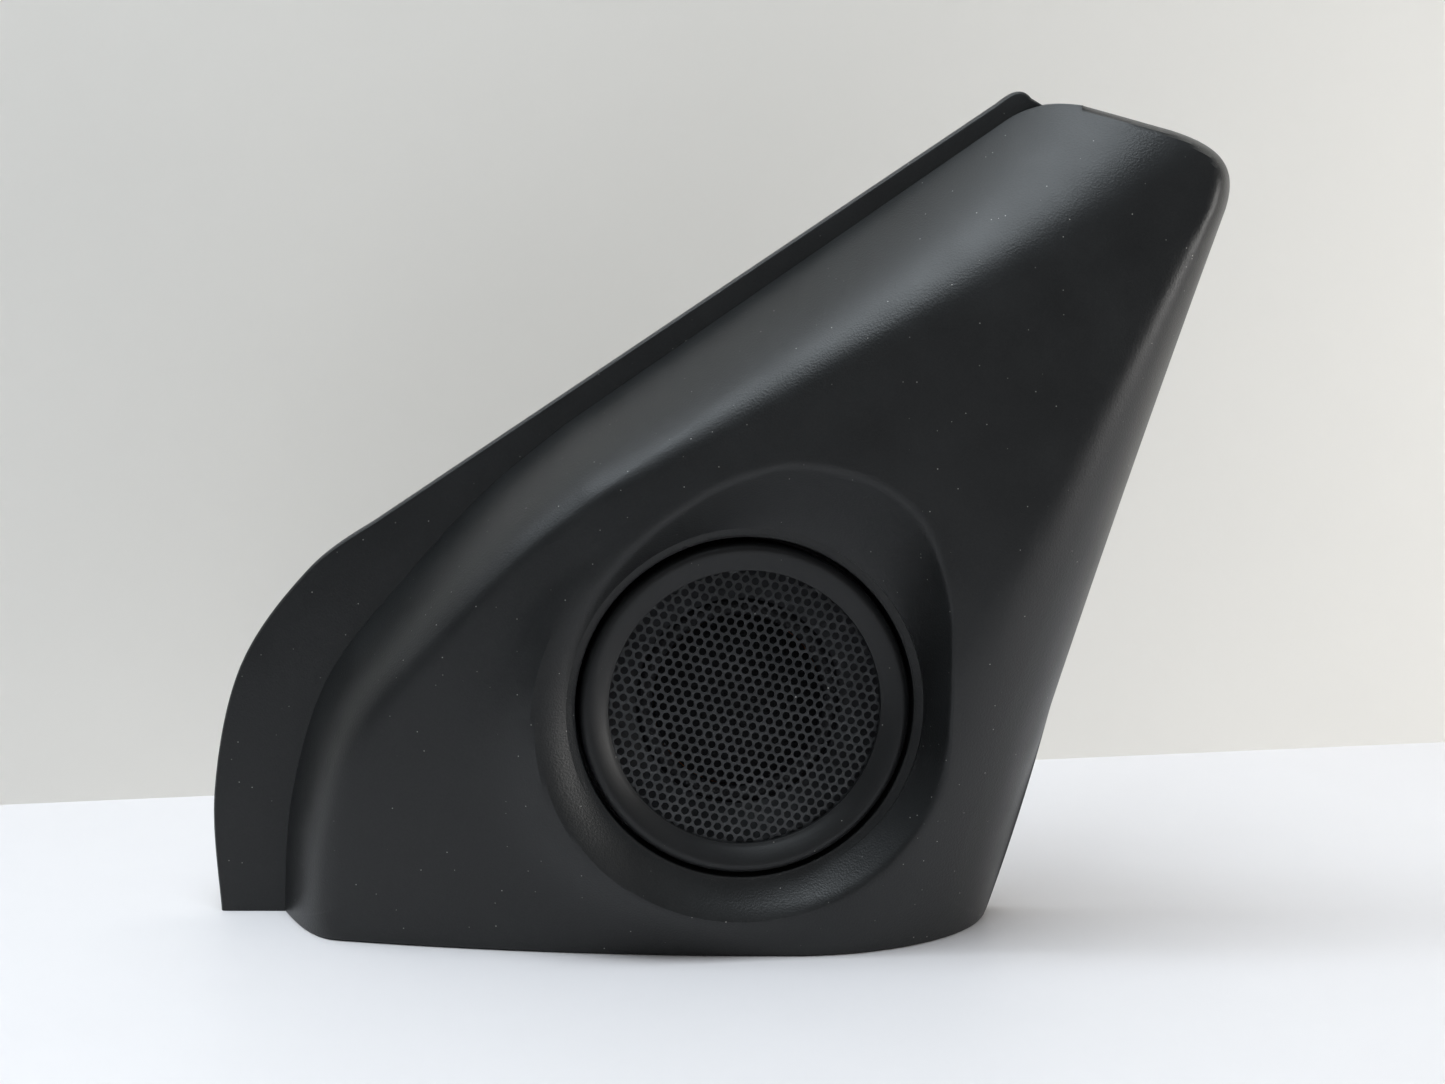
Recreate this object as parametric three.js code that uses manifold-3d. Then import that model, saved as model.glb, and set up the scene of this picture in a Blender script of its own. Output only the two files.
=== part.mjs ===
// Inner mirror-corner ("sail") trim panel of a car's right front door, with its built-in 25 mm dome tweeter.
// Millimetres. +X points along the door to the panel's upright edge, +Y points into the door, +Z is up.
// The plane Y = 0 is the door surface that the panel's rim seats on, Z = 0 is the level of its bottom rim,
// and X = 0 is straight below the tweeter's centre.
import * as THREE from 'three';
import { mergeVertices } from 'three/addons/utils/BufferGeometryUtils.js';
import Module from 'manifold-3d';

const wasm = await Module();
wasm.setup();

// ---- Driving dimensions -------------------------------------------------------------------------------------

const joinGap = 0.3;            // left between pieces that seat on each other
const turnedSides = 32;         // sides of a large turned piece
const smallSides = 16;          // sides of a small turned piece

// Panel
const panelWidth = 153.4;       // over the flange's outer corner and the top corner
const panelHeight = 125.6;
const panelWall = 2.5;
const flangeThickness = 2.5;
const flangeOverlap = 1.2;      // how far the flange runs into the shell's wall
const crownDepth = 27.5;        // how far the face stands off the door at its highest point
const crownX = 5;
const crownZ = 45;
const crownFall = 0.00164;      // fall of the face, per square millimetre of distance from its crown
const shoulderWidths = [        // the shoulder between flange and face, at distances along the flange
  [-60, 10], [-20, 10], [20, 10.5], [60, 14.5], [100, 19], [125, 20.5],
];
const edgeRollFoot = 30;        // width over which the face rolls down to the upright edge, at the bottom rim
const edgeRollTop = 4.5;        // at the top corner
const edgeRollTip = 0.9;        // and where the top edge starts, beside the flange's tip
const edgeLand = 2;             // height of the square edge left below that roll

// Tweeter placing: the centre of the bezel's front plane, and the axis pointing out of the panel
const podX = 0;
const podY = -22;
const podZ = 37;
const podYaw = THREE.MathUtils.degToRad(8.3);
const podPitch = THREE.MathUtils.degToRad(5);

// Diaphragm and motor: radii from the dome outwards, each with its own wall or clearance
const domeRadius = 12.6;
const domeRise = 3.4;
const filmThickness = 0.35;
const surroundWidth = 2.8;      // from the dome's edge to the horn's throat
const surroundRoll = 1.0;
const formerInset = 0.1;        // the coil former's outside lies this far inside the dome's edge
const formerWall = 0.25;
const formerLength = 4.1;
const windingGap = 0.25;
const windingWall = 0.3;
const windingLength = 2.2;
const gapInside = 0.45;         // air gap between the former and the pole plate
const gapOutside = 0.65;        // air gap between the winding and the yoke
const polePlateThickness = 2;
const magnetStep = 0.8;         // the magnet is this much smaller than the pole plate
const magnetThickness = 2.6;
const padThickness = 0.9;
const yokeWall = 2.5;
const yokeFlange = 1.5;
const yokeFloor = 2;
const mountRingWidth = 2.5;
const mountRingThickness = 0.95;

// Horn plate and grille
const hornLand = 0.5;           // from the horn's throat to the mount ring's bore
const hornPlateDepth = 4.2;
const hornThroatLength = 1.1;
const grilleThickness = 0.5;
const grilleDoming = 0.8;
const grilleSkirt = 1.6;

// Rear housing
const housingRim = 3.2;         // wall of the housing's front end, beside the mount ring
const housingWall = 1.6;
const housingFlangeWidth = 5.1;
const housingFlange = 1.5;
const housingFloor = 1.5;
const ledgeThickness = 1.2;
const rearPad = 0.6;
const wireNotch = 5.2;          // width of the slots that pass the wires by the yoke's flange
const slotFloor = 0.4;          // wall left between those slots and the yoke's side
const negativeAngle = 172;
const feedAngle = 189;
const positiveAngle = 290;
const leadInAngle = 252;

// Bezel, with its flange and screw ears. Heights are along the tweeter's axis, from the bezel's front plane.
const bezelWall = 2.4;
const bezelLipWidth = 1.8;      // how far the lip covers the grille
const bezelLip = 0.6;
const bezelFunnel = 1.3;        // how deep the grille's edge sits
const bezelShoulder = 1.2;
const bezelFlange = 1.8;
const seatWidth = 1.6;          // the flange's and the gasket's overlap on the sleeve
const gasketThickness = 0.8;
const earRadius = 3.8;
const earAngles = [90, 210, 330];

// Pod in the panel
const bezelGap = 0.7;           // visible ring gap round the bezel
const lipHeight = -1;           // height of the bowl's inner edge
const lipLand = 0.3;            // flat ring at that edge
const crestWidth = 5.7;         // from that edge to the collar's crest, below and beside the tweeter
const crestHeight = 2.1;
const collarSlope = 0.8;
const collarBlend = 2;          // how far the collar runs softly into the face
const sleeveWall = 2.2;
const sleeveEnd = -8;           // rear end of the sleeve, where the gasket seats
const ribWall = 1.6;
const ribReaches = [[150, 70], [25, 48]];   // angle round the tweeter, and distance reached from its axis

// Screws and their bosses
const screwRadius = 1.2;
const screwHoleGap = 0.3;
const screwHeadRadius = 2.6;
const screwHead = 1.6;
const screwReach = 4.5;         // length of thread in the boss
const bossRadius = 3.3;
const bossOverlap = 0.5;        // how far a boss runs into the sleeve's wall
const bossTop = -1.6;

// Connector socket on the housing's left side
const socketLength = 15.7;      // from the housing's side to the mouth
const socketWidth = 16.4;
const socketHeight = 10.6;
const socketWall = 1.4;
const socketDrop = 2.4;         // how far it stands behind the housing's back
const bladeWidth = 2.2;
const bladeThickness = 0.8;
const bladeRecess = 7;          // from the mouth to the blades' tips

// Crossover capacitor, in its saddle below the housing
const capacitorRadius = 4;
const capacitorLength = 11;
const capacitorStandOff = 5.1;  // from the housing's side to the capacitor's centre
const saddleLength = 15;
const wireRadius = 0.4;
const leadGap = 0.45;           // round a lead in its hole

// Door clips, their towers and their seals
const clipNeck = 3;
const clipHead = 5.6;
const clipHeadThickness = 1.3;
const clipCollar = 6.6;
const clipCollarThickness = 1;
const clipBarb = 4.6;
const clipTip = 2.2;
const clipReach = 11;           // how far the clip's barbs reach behind the seating plane
const clipRoom = 0.35;          // round the clip's head and neck in the tower
const headPocket = 1.2;         // spare height above the clip's head
const towerWall = 1.8;
const towerSeat = -2;           // plane of the tower's end
const sealRim = 0.8;            // the seal is this much larger than the clip's collar
const sealThickness = 0.9;

// Locating pin and foam strip
const pinRadius = 2.5;
const pinReach = 6;
const foamWidth = 5;
const foamThickness = 1.2;

// ---- Sizes worked out from those ----------------------------------------------------------------------------

const formerOuter = domeRadius - formerInset;
const poleRadius = formerOuter - formerWall - gapInside;
const magnetRadius = poleRadius - magnetStep;
const windingInner = formerOuter + windingGap;
const yokeBore = windingInner + windingWall + gapOutside;
const yokeRadius = yokeBore + yokeWall;
const hornThroat = domeRadius + surroundWidth;
const mountRingInner = hornThroat + hornLand;
const mountRingOuter = mountRingInner + mountRingWidth;
const housingInner = mountRingOuter + joinGap;
const housingOuter = housingInner + housingWall;
const boreRadius = housingInner + housingRim;
const bezelRadius = boreRadius + bezelWall;
const grilleRadius = boreRadius - bezelLipWidth;
const hornMouth = grilleRadius + 0.4;
const sleeveInner = bezelRadius + bezelGap;
const sleeveOuter = sleeveInner + sleeveWall;
const lipRadius = sleeveInner + lipLand;
const crestRadius = lipRadius + crestWidth;
const bezelFlangeRadius = sleeveInner + seatWidth;
const earCircle = sleeveOuter + bossRadius - bossOverlap;
const socketReach = housingOuter + socketLength;
const capacitorCentre = housingOuter + capacitorStandOff;
const towerHalfDepth = clipHead + clipRoom + towerWall;
const towerHalfWidth = towerHalfDepth + 1;

// The outline is drawn in X and Z at this width and height, and stretched to the panel's own.
const drawnWidth = 153.4;
const drawnHeight = 125.6;
const [stretchX, stretchZ] = [panelWidth / drawnWidth, panelHeight / drawnHeight];

function drawn(x, z) {
  return new THREE.Vector2(x * stretchX, z * stretchZ);
}

const clipPlaces = { upper: drawn(50, 96).toArray(), lower: drawn(-54, 20).toArray() };
const pinPlace = drawn(-25, 66).toArray();

// ---- Geometry helpers ---------------------------------------------------------------------------------------

function closedGeometry(geometry) {
  const bare = geometry.clone();
  bare.deleteAttribute('normal');
  bare.deleteAttribute('uv');
  const merged = mergeVertices(bare, 1e-4);
  const source = merged.getIndex().array;
  const kept = [];
  for (let i = 0; i < source.length; i += 3) {
    const [a, b, c] = [source[i], source[i + 1], source[i + 2]];
    if (a !== b && b !== c && c !== a) {
      kept.push(a, b, c);
    }
  }
  if (signedVolume(merged.getAttribute('position'), kept) < 0) {
    kept.reverse();
  }
  merged.setIndex(kept);
  return merged;
}

function signedVolume(position, index) {
  const [a, b, c] = [new THREE.Vector3(), new THREE.Vector3(), new THREE.Vector3()];
  let volume = 0;
  for (let i = 0; i < index.length; i += 3) {
    a.fromBufferAttribute(position, index[i]);
    b.fromBufferAttribute(position, index[i + 1]);
    c.fromBufferAttribute(position, index[i + 2]);
    volume += a.dot(b.cross(c)) / 6;
  }
  return volume;
}

function solidOf(geometry) {
  const closed = closedGeometry(geometry);
  return new wasm.Manifold(new wasm.Mesh({
    numProp: 3,
    vertProperties: new Float32Array(closed.getAttribute('position').array),
    triVerts: new Uint32Array(closed.getIndex().array),
  }));
}

function geometryOf(solid) {
  const mesh = solid.getMesh();
  const geometry = new THREE.BufferGeometry();
  geometry.setAttribute('position', new THREE.BufferAttribute(new Float32Array(mesh.vertProperties), 3));
  geometry.setIndex(Array.from(mesh.triVerts));
  return geometry;
}

function joined(...solids) {
  return solids.reduce((whole, piece) => whole.add(piece));
}

function cut(solid, ...tools) {
  return tools.reduce((left, tool) => left.subtract(tool), solid);
}

// A turned piece from [radius, height] points, about the Z axis.
function turned(profile, sides = turnedSides) {
  const points = profile.map(([r, h]) => new THREE.Vector2(r, h));
  return closedGeometry(new THREE.LatheGeometry(points, sides).rotateX(Math.PI / 2));
}

function turnedRing(inner, outer, low, high, sides = turnedSides) {
  return turned([[inner, low], [outer, low], [outer, high], [inner, high], [inner, low]], sides);
}

function turnedDisc(radius, low, high, sides = turnedSides) {
  return turned([[0, low], [radius, low], [radius, high], [0, high]], sides);
}

function block([x0, x1], [y0, y1], [z0, z1]) {
  const box = new THREE.BoxGeometry(x1 - x0, y1 - y0, z1 - z0);
  return box.translate((x0 + x1) / 2, (y0 + y1) / 2, (z0 + z1) / 2);
}

// A round wire along a smooth curve through the points.
function wire(points, radius = wireRadius, steps = 16) {
  const curve = new THREE.CatmullRomCurve3(points.map((p) => new THREE.Vector3(...p)), false, 'centripetal');
  const section = new THREE.Shape().absarc(0, 0, radius, 0, 2 * Math.PI);
  return new THREE.ExtrudeGeometry(section, { steps, curveSegments: 4, extrudePath: curve });
}

function onCircle(radius, degrees, height) {
  const angle = THREE.MathUtils.degToRad(degrees);
  return [radius * Math.cos(angle), radius * Math.sin(angle), height];
}

function moved(geometry, x, y, z = 0) {
  return geometry.clone().translate(x, y, z);
}

// An extrusion of an outline drawn in X and Z, between two planes of constant Y.
function plate(outline, yLow, yHigh) {
  const shape = new THREE.Shape(outline.map(([x, z]) => new THREE.Vector2(x, z)));
  const flat = new THREE.ExtrudeGeometry(shape, { depth: yHigh - yLow, bevelEnabled: false });
  return flat.rotateX(Math.PI / 2).translate(0, yHigh, 0);
}

// A round rod along Y, between two planes.
function rodAlongY([x, z], radius, yLow, yHigh, sides = smallSides) {
  const rod = new THREE.CylinderGeometry(radius, radius, yHigh - yLow, sides);
  return rod.translate(x, (yLow + yHigh) / 2, z);
}

// ---- Tweeter frame ------------------------------------------------------------------------------------------
// Its own X is to the right, its Y up and its Z out of the panel, from the centre of the bezel's front plane.

const tweeterAxis = new THREE.Vector3(
  Math.sin(podYaw) * Math.cos(podPitch),
  -Math.cos(podYaw) * Math.cos(podPitch),
  Math.sin(podPitch),
);
const tweeterRight = new THREE.Vector3(0, 0, 1).cross(tweeterAxis).normalize();
const tweeterUp = new THREE.Vector3().crossVectors(tweeterAxis, tweeterRight);
const tweeterCentre = new THREE.Vector3(podX, podY, podZ);
const tweeterFrame = new THREE.Matrix4()
  .makeBasis(tweeterRight, tweeterUp, tweeterAxis)
  .setPosition(tweeterCentre);

// ---- Panel outline ------------------------------------------------------------------------------------------

// The body's rim in X and Z, from its foot on the left, over the top, to its foot on the right.
function bodyRim() {
  const rim = new THREE.CurvePath();
  rim.add(new THREE.SplineCurve([
    drawn(-71.6, 0),
    drawn(-70.1, 18),
    drawn(-64, 37.2),
    drawn(-51.5, 53.1),
    drawn(-39.3, 66.2),
    drawn(-27.3, 76.2),
  ]));
  rim.add(new THREE.LineCurve(drawn(-27.3, 76.2), drawn(37.5, 120.9)));
  rim.add(new THREE.QuadraticBezierCurve(drawn(37.5, 120.9), drawn(42.8, 124.8), drawn(49.5, 123.5)));
  rim.add(new THREE.LineCurve(drawn(49.5, 123.5), drawn(62.5, 119.9)));
  rim.add(new THREE.CubicBezierCurve(
    drawn(62.5, 119.9),
    drawn(68.5, 118),
    drawn(72.6, 115.6),
    drawn(70.6, 108.6),
  ));
  rim.add(new THREE.QuadraticBezierCurve(drawn(70.6, 108.6), drawn(52.2, 54.5), drawn(36.9, 0)));
  return rim;
}

const rimSteps = [12, 8, 3, 2, 5, 12];

// Points of the rim, moved inwards by a distance.
function rimPoints(inset) {
  const points = [];
  bodyRim().curves.forEach((curve, number) => {
    const steps = rimSteps[number];
    for (let i = number === 0 ? 0 : 1; i <= steps; i += 1) {
      const place = curve.getPoint(i / steps);
      const along = curve.getTangent(i / steps);
      points.push([place.x + along.y * inset, place.y - along.x * inset]);
    }
  });
  return points;
}

const fineRim = rimPoints(0);

function distanceToPath(x, z, path, from, to) {
  let nearest = Infinity;
  for (let i = from; i < to; i += 1) {
    const [ax, az] = path[i];
    const [bx, bz] = path[i + 1];
    const [dx, dz] = [bx - ax, bz - az];
    const share = THREE.MathUtils.clamp(((x - ax) * dx + (z - az) * dz) / (dx * dx + dz * dz), 0, 1);
    nearest = Math.min(nearest, Math.hypot(x - ax - share * dx, z - az - share * dz));
  }
  return nearest;
}

// The flange ends in the first steps of its tip's curve. The top edge, the corner and the upright edge follow it.
const flangeStretch = rimSteps[0] + rimSteps[1] + 2;
const topStretch = rimSteps[0] + rimSteps[1] + rimSteps[2];
const uprightStretch = fineRim.length - 1 - rimSteps[5];
const cornerHeight = fineRim[uprightStretch][1];

// The shoulder follows the flange's curve and its straight stretch, carried on past the flange's tip.
const flangeRun = drawn(37.5, 120.9).sub(drawn(-27.3, 76.2)).normalize();
const [straightX, straightZ] = fineRim[rimSteps[0]];
const shoulderPath = [
  ...fineRim.slice(0, rimSteps[0] + 1),
  [straightX + flangeRun.x * panelWidth, straightZ + flangeRun.y * panelWidth],
];

// ---- Panel surface ------------------------------------------------------------------------------------------

function smoothLower(a, b, width) {
  const overlap = Math.max(width - Math.abs(a - b), 0);
  return Math.min(a, b) - overlap * overlap / (4 * width);
}

function smoothHigher(a, b, width) {
  return -smoothLower(-a, -b, width);
}

// The pod's edge round the tweeter, from the right and on over the top: angle, width of the bowl's wall outside the
// bowl's inner edge, how hollow that wall is, and how softly it rounds over into the face.
const podRows = [
  [0, 4.5, 1.2, 1.4],
  [15, 5.7, 1.25, 1],
  [30, 8.9, 1.25, 0.8],
  [52, 13.6, 1.2, 0.8],
  [76, 12.4, 1.15, 0.8],
  [90, 9.7, 1.1, 0.8],
  [110, 5.6, 1, 1],
  [130, 3.4, 0.9, 1.3],
  [150, 3, 0.85, 1.7],
  [170, 3.4, 0.85, 1.9],
  [192, 4.4, 1.1, 1.9],
  [225, 5.3, 1.4, 1.7],
  [270, 5.6, 1.5, 1.5],
  [315, 5.6, 1.5, 1.2],
  [338, 5.4, 1.4, 1.2],
  [350, 4.8, 1.3, 1.4],
];

// Width, hollow and softness of the pod's edge at an angle, smoothly between the rows.
function podEdge(degrees) {
  const turn = THREE.MathUtils.euclideanModulo(degrees, 360);
  const count = podRows.length;
  let i = count - 1;
  while (podRows[i][0] > turn) {
    i -= 1;
  }
  const row = (k) => {
    const [angle, ...values] = podRows[THREE.MathUtils.euclideanModulo(k, count)];
    return [angle + 360 * Math.floor(k / count), ...values];
  };
  const [p0, p1, p2, p3] = [row(i - 1), row(i), row(i + 1), row(i + 2)];
  const span = p2[0] - p1[0];
  const share = (turn - p1[0]) / span;
  const [s2, s3] = [share * share, share * share * share];
  return [1, 2, 3].map((column) => {
    const slopeIn = (p2[column] - p0[column]) / (p2[0] - p0[0]) * span;
    const slopeOut = (p3[column] - p1[column]) / (p3[0] - p1[0]) * span;
    return (2 * s3 - 3 * s2 + 1) * p1[column] + (s3 - 2 * s2 + share) * slopeIn
      + (3 * s2 - 2 * s3) * p2[column] + (s3 - s2) * slopeOut;
  });
}

// Distance off the door of the plane square to the tweeter's axis at a height along it.
function podPlaneDepth(x, z, height) {
  const rise = height - tweeterAxis.x * (x - podX) - tweeterAxis.z * (z - podZ);
  return -podY + rise / -tweeterAxis.y;
}

// How far a point lies in from the upright edge, the corner or the top edge, as a share of the roll's width there.
function edgeShare(x, z) {
  const height = THREE.MathUtils.clamp(z / cornerHeight, 0, 1);
  const uprightWidth = THREE.MathUtils.lerp(edgeRollFoot, edgeRollTop, height);
  let share = distanceToPath(x, z, fineRim, uprightStretch, fineRim.length - 1) / uprightWidth;
  for (let i = topStretch; i < uprightStretch; i += 1) {
    const width = THREE.MathUtils.mapLinear(i, topStretch, uprightStretch - 1, edgeRollTip, edgeRollTop);
    share = Math.min(share, distanceToPath(x, z, fineRim, i, i + 1) / width);
  }
  return Math.min(share, 1);
}

// Distance off the door of the panel's face, before the pod and the shoulder are formed.
function faceDepth(x, z) {
  const crown = crownDepth - crownFall * ((x - crownX) ** 2 + (z - crownZ) ** 2);
  const rolled = 1 - edgeShare(x, z);
  return edgeLand + (crown - edgeLand) * Math.sqrt(1 - rolled * rolled);
}

// How far the shoulder has climbed from the flange to the face, from 0 to 1.
function shoulderShare(x, z) {
  const along = x * flangeRun.x + z * flangeRun.y;
  const ends = [shoulderWidths[0][0], shoulderWidths[shoulderWidths.length - 1][0]];
  const place = THREE.MathUtils.clamp(along, ...ends);
  const next = Math.max(shoulderWidths.findIndex(([at]) => at >= place), 1);
  const [[start, low], [end, high]] = [shoulderWidths[next - 1], shoulderWidths[next]];
  const width = THREE.MathUtils.mapLinear(place, start, end, low, high);
  const rest = 1 - Math.min(distanceToPath(x, z, shoulderPath, 0, shoulderPath.length - 1) / width, 1);
  return 1 - rest * rest;
}

const leastRise = 0.5;          // least rise of the face above the lip that the bowl's wall is drawn for

function surfaceDepth(x, z) {
  const lip = podPlaneDepth(x, z, lipHeight);
  const away = new THREE.Vector3(x - podX, -lip - podY, z - podZ);
  const radius = Math.sqrt(Math.max(away.lengthSq() - lipHeight * lipHeight, 0));
  const degrees = THREE.MathUtils.radToDeg(Math.atan2(away.dot(tweeterUp), away.dot(tweeterRight)));
  const collar = podPlaneDepth(x, z, crestHeight - Math.max(radius - crestRadius, 0) * collarSlope);
  const raised = smoothHigher(faceDepth(x, z), collar, collarBlend);
  const face = THREE.MathUtils.lerp(flangeThickness, raised, shoulderShare(x, z));
  const [width, hollow, softness] = podEdge(degrees);
  const out = Math.max(radius - lipRadius, 0) / width;
  const climb = out < 1 ? out ** hollow : 1 + hollow * (out - 1);
  const high = face - lip;
  const round = Math.min(softness, Math.max(high, leastRise) * 0.9);
  return lip + smoothLower(high, Math.max(high, leastRise) * climb, round);
}

// Depth of the shell's inner face behind a point of its outer face.
function innerDepth(x, z) {
  const step = 0.4;
  const slopeX = (surfaceDepth(x + step, z) - surfaceDepth(x - step, z)) / (2 * step);
  const slopeZ = (surfaceDepth(x, z + step) - surfaceDepth(x, z - step)) / (2 * step);
  const lean = Math.min(Math.sqrt(1 + slopeX * slopeX + slopeZ * slopeZ), 1.7);
  return surfaceDepth(x, z) - panelWall * lean;
}

// A closed body over a loop of points, with a curved front and a flat back. Spokes run to the loop's points from
// the pod's centre, each with knots at the pod's edges and closing up towards the loop.
function domedBody(loop, depthAt, backY) {
  const outward = [0.22, 0.42, 0.6, 0.75, 0.87, 0.95, 1];
  const rings = 5 + outward.length;
  const positions = [podX, -depthAt(podX, podZ), podZ];
  loop.forEach(([x, z]) => {
    const reach = Math.hypot(x - podX, z - podZ);
    const angle = THREE.MathUtils.radToDeg(Math.atan2(z - podZ, x - podX));
    const [width] = podEdge(angle);
    const rim = Math.min(lipRadius + width, reach - 2);
    const beyond = Math.min(rim + 2.5, (rim + reach) / 2);
    const bowl = [0, 0.4, 0.75, 1].map((share) => THREE.MathUtils.lerp(lipRadius, rim, share));
    const knots = [...bowl, beyond];
    outward.forEach((share) => knots.push(THREE.MathUtils.lerp(beyond, reach, share)));
    knots.forEach((knot) => {
      const px = podX + (x - podX) * knot / reach;
      const pz = podZ + (z - podZ) * knot / reach;
      positions.push(px, -depthAt(px, pz), pz);
    });
  });
  const backStart = positions.length / 3;
  loop.forEach(([x, z]) => positions.push(x, backY, z));
  positions.push(podX, backY, podZ);
  const backCentre = backStart + loop.length;
  const index = [];
  for (let spoke = 0; spoke < loop.length; spoke += 1) {
    const next = (spoke + 1) % loop.length;
    const [here, there] = [1 + spoke * rings, 1 + next * rings];
    index.push(0, here, there);
    for (let ring = 0; ring < rings - 1; ring += 1) {
      index.push(here + ring, here + ring + 1, there + ring + 1);
      index.push(here + ring, there + ring + 1, there + ring);
    }
    const [edgeHere, edgeThere] = [here + rings - 1, there + rings - 1];
    index.push(edgeHere, backStart + spoke, backStart + next);
    index.push(edgeHere, backStart + next, edgeThere);
    index.push(backCentre, backStart + next, backStart + spoke);
  }
  const geometry = new THREE.BufferGeometry();
  geometry.setAttribute('position', new THREE.Float32BufferAttribute(positions, 3));
  geometry.setIndex(index);
  return geometry;
}

// The rim's points closed along the bottom, at a height.
function closedLoop(points, footZ, steps = 14) {
  const loop = points.filter(([, z]) => z > footZ + 0.3);
  const [first, last] = [points[0], points[points.length - 1]];
  for (let i = 0; i <= steps; i += 1) {
    const share = (1 - Math.cos(Math.PI * i / steps)) / 2;
    loop.push([THREE.MathUtils.lerp(last[0], first[0], share), footZ]);
  }
  return loop;
}

// ---- Trim panel ---------------------------------------------------------------------------------------------

const innerFootZ = -4;          // the shell is open below, so its inside runs on past the bottom rim

function panelShell() {
  const outer = solidOf(domedBody(closedLoop(rimPoints(0), 0), surfaceDepth, 0));
  const inner = solidOf(domedBody(closedLoop(rimPoints(panelWall), innerFootZ), innerDepth, 4));
  return { outer, inner };
}

function flangeOutline() {
  const edge = new THREE.SplineCurve([
    drawn(-81.6, 0),
    drawn(-82.1, 19),
    drawn(-77.4, 39),
    drawn(-66.6, 54),
    drawn(-55.7, 61.9),
  ]).getPoints(14).map((p) => p.toArray());
  const tip = new THREE.CubicBezierCurve(
    drawn(36.8, 123.8),
    drawn(38.6, 125.2),
    drawn(40.4, 126.6),
    drawn(42, 124.6),
  ).getPoints(5).map((p) => p.toArray());
  const back = rimPoints(flangeOverlap).slice(0, flangeStretch + 2).reverse();
  back[back.length - 1][1] = 0;
  return [...edge, ...tip, ...back];
}

function bossPlace(degrees) {
  return onCircle(earCircle, degrees, 0);
}

function sleeveWithBosses() {
  const sleeve = solidOf(turnedRing(sleeveInner, sleeveOuter, sleeveEnd, lipHeight - 1.2));
  const bosses = earAngles.map((angle) => {
    const [x, y] = bossPlace(angle);
    return solidOf(moved(turnedDisc(bossRadius, sleeveEnd, bossTop, smallSides), x, y));
  });
  return joined(sleeve, ...bosses);
}

function pilotHoles() {
  return earAngles.map((angle) => {
    const [x, y] = bossPlace(angle);
    const hole = turnedDisc(screwRadius + screwHoleGap, sleeveEnd - 1, sleeveEnd + screwReach + joinGap, 12);
    return solidOf(moved(hole, x, y));
  });
}

// A clip tower: a square tube down from the shell, with an end plate slotted from its left side.
function clipTower([x, z]) {
  const [left, right] = [x - towerHalfWidth, x + towerHalfWidth];
  const plateTop = towerSeat - towerWall;
  const pocketTop = plateTop - clipHeadThickness - 2 * joinGap - headPocket;
  const room = clipHead + clipRoom;
  const walls = block([left, right], [-crownDepth, towerSeat], [z - towerHalfDepth, z + towerHalfDepth]);
  const pocket = block([left - 1, right - towerWall], [pocketTop, plateTop], [z - room, z + room]);
  const core = block([left + towerWall, right - towerWall], [-crownDepth - 1, plateTop], [z - room, z + room]);
  const slotHalf = clipNeck + clipRoom;
  const slot = block([left - 1, x], [plateTop - 1, towerSeat + 1], [z - slotHalf, z + slotHalf]);
  const seat = rodAlongY([x, z], slotHalf, plateTop - 1, towerSeat + 1);
  return cut(solidOf(walls), solidOf(pocket), solidOf(core), solidOf(slot), solidOf(seat));
}

// Ribs between the sleeve and the shell's walls.
function ribs() {
  return ribReaches.map(([degrees, length]) => {
    const rib = block([sleeveInner + 0.5, length], [-ribWall / 2, ribWall / 2], [sleeveEnd, crownDepth]);
    return solidOf(rib.rotateZ(THREE.MathUtils.degToRad(degrees)));
  });
}

function trimPanel() {
  const { outer, inner } = panelShell();
  const shell = outer.subtract(inner);
  const pod = joined(sleeveWithBosses(), ...ribs()).transform(tweeterFrame.elements);
  const towers = joined(...Object.values(clipPlaces).map(clipTower));
  const pin = solidOf(rodAlongY(pinPlace, pinRadius, -crownDepth, pinReach));
  const inside = joined(pod, towers, pin);
  const belowFace = solidOf(domedBody(closedLoop(rimPoints(0.6), 0), (x, z) => surfaceDepth(x, z) - 0.7, 20));
  const flange = solidOf(plate(flangeOutline(), -flangeThickness, 0));
  const bore = solidOf(turnedDisc(sleeveInner, -60, 30)).transform(tweeterFrame.elements);
  const holes = pilotHoles().map((hole) => hole.transform(tweeterFrame.elements));
  return cut(joined(shell, inside.intersect(belowFace), flange), bore, ...holes);
}

// ---- Tweeter ------------------------------------------------------------------------------------------------

const gasketTop = sleeveEnd - joinGap;
const flangeTop = gasketTop - gasketThickness - joinGap;
const flangeBottom = flangeTop - bezelFlange;
const lipTop = -bezelFunnel;
const lipBottom = lipTop - bezelLip;
const grilleEdgeTop = lipBottom - joinGap;
const grilleRim = boreRadius - joinGap;
const skirtEnd = grilleEdgeTop - grilleThickness - grilleSkirt;
const hornTop = skirtEnd - joinGap;
const hornBottom = hornTop - hornPlateDepth;
const clampTop = hornBottom - joinGap;
const clampBottom = clampTop - filmThickness;
const ringTop = clampBottom - joinGap;
const ringBottom = ringTop - mountRingThickness;
const yokeTop = ringBottom - joinGap;
const yokeFlangeBottom = yokeTop - yokeFlange;
const plateTop = yokeTop;
const plateBottom = plateTop - polePlateThickness;
const magnetTop = plateBottom - joinGap;
const magnetBottom = magnetTop - magnetThickness;
const yokeFloorTop = magnetBottom - joinGap;
const yokeBottom = yokeFloorTop - yokeFloor;
const rearPadTop = yokeBottom - joinGap;
const housingFloorTop = rearPadTop - rearPad - joinGap;
const housingBottom = housingFloorTop - housingFloor;
const domeEdge = clampTop + 0.3;
const wireCircle = (yokeRadius + housingInner) / 2;

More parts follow.
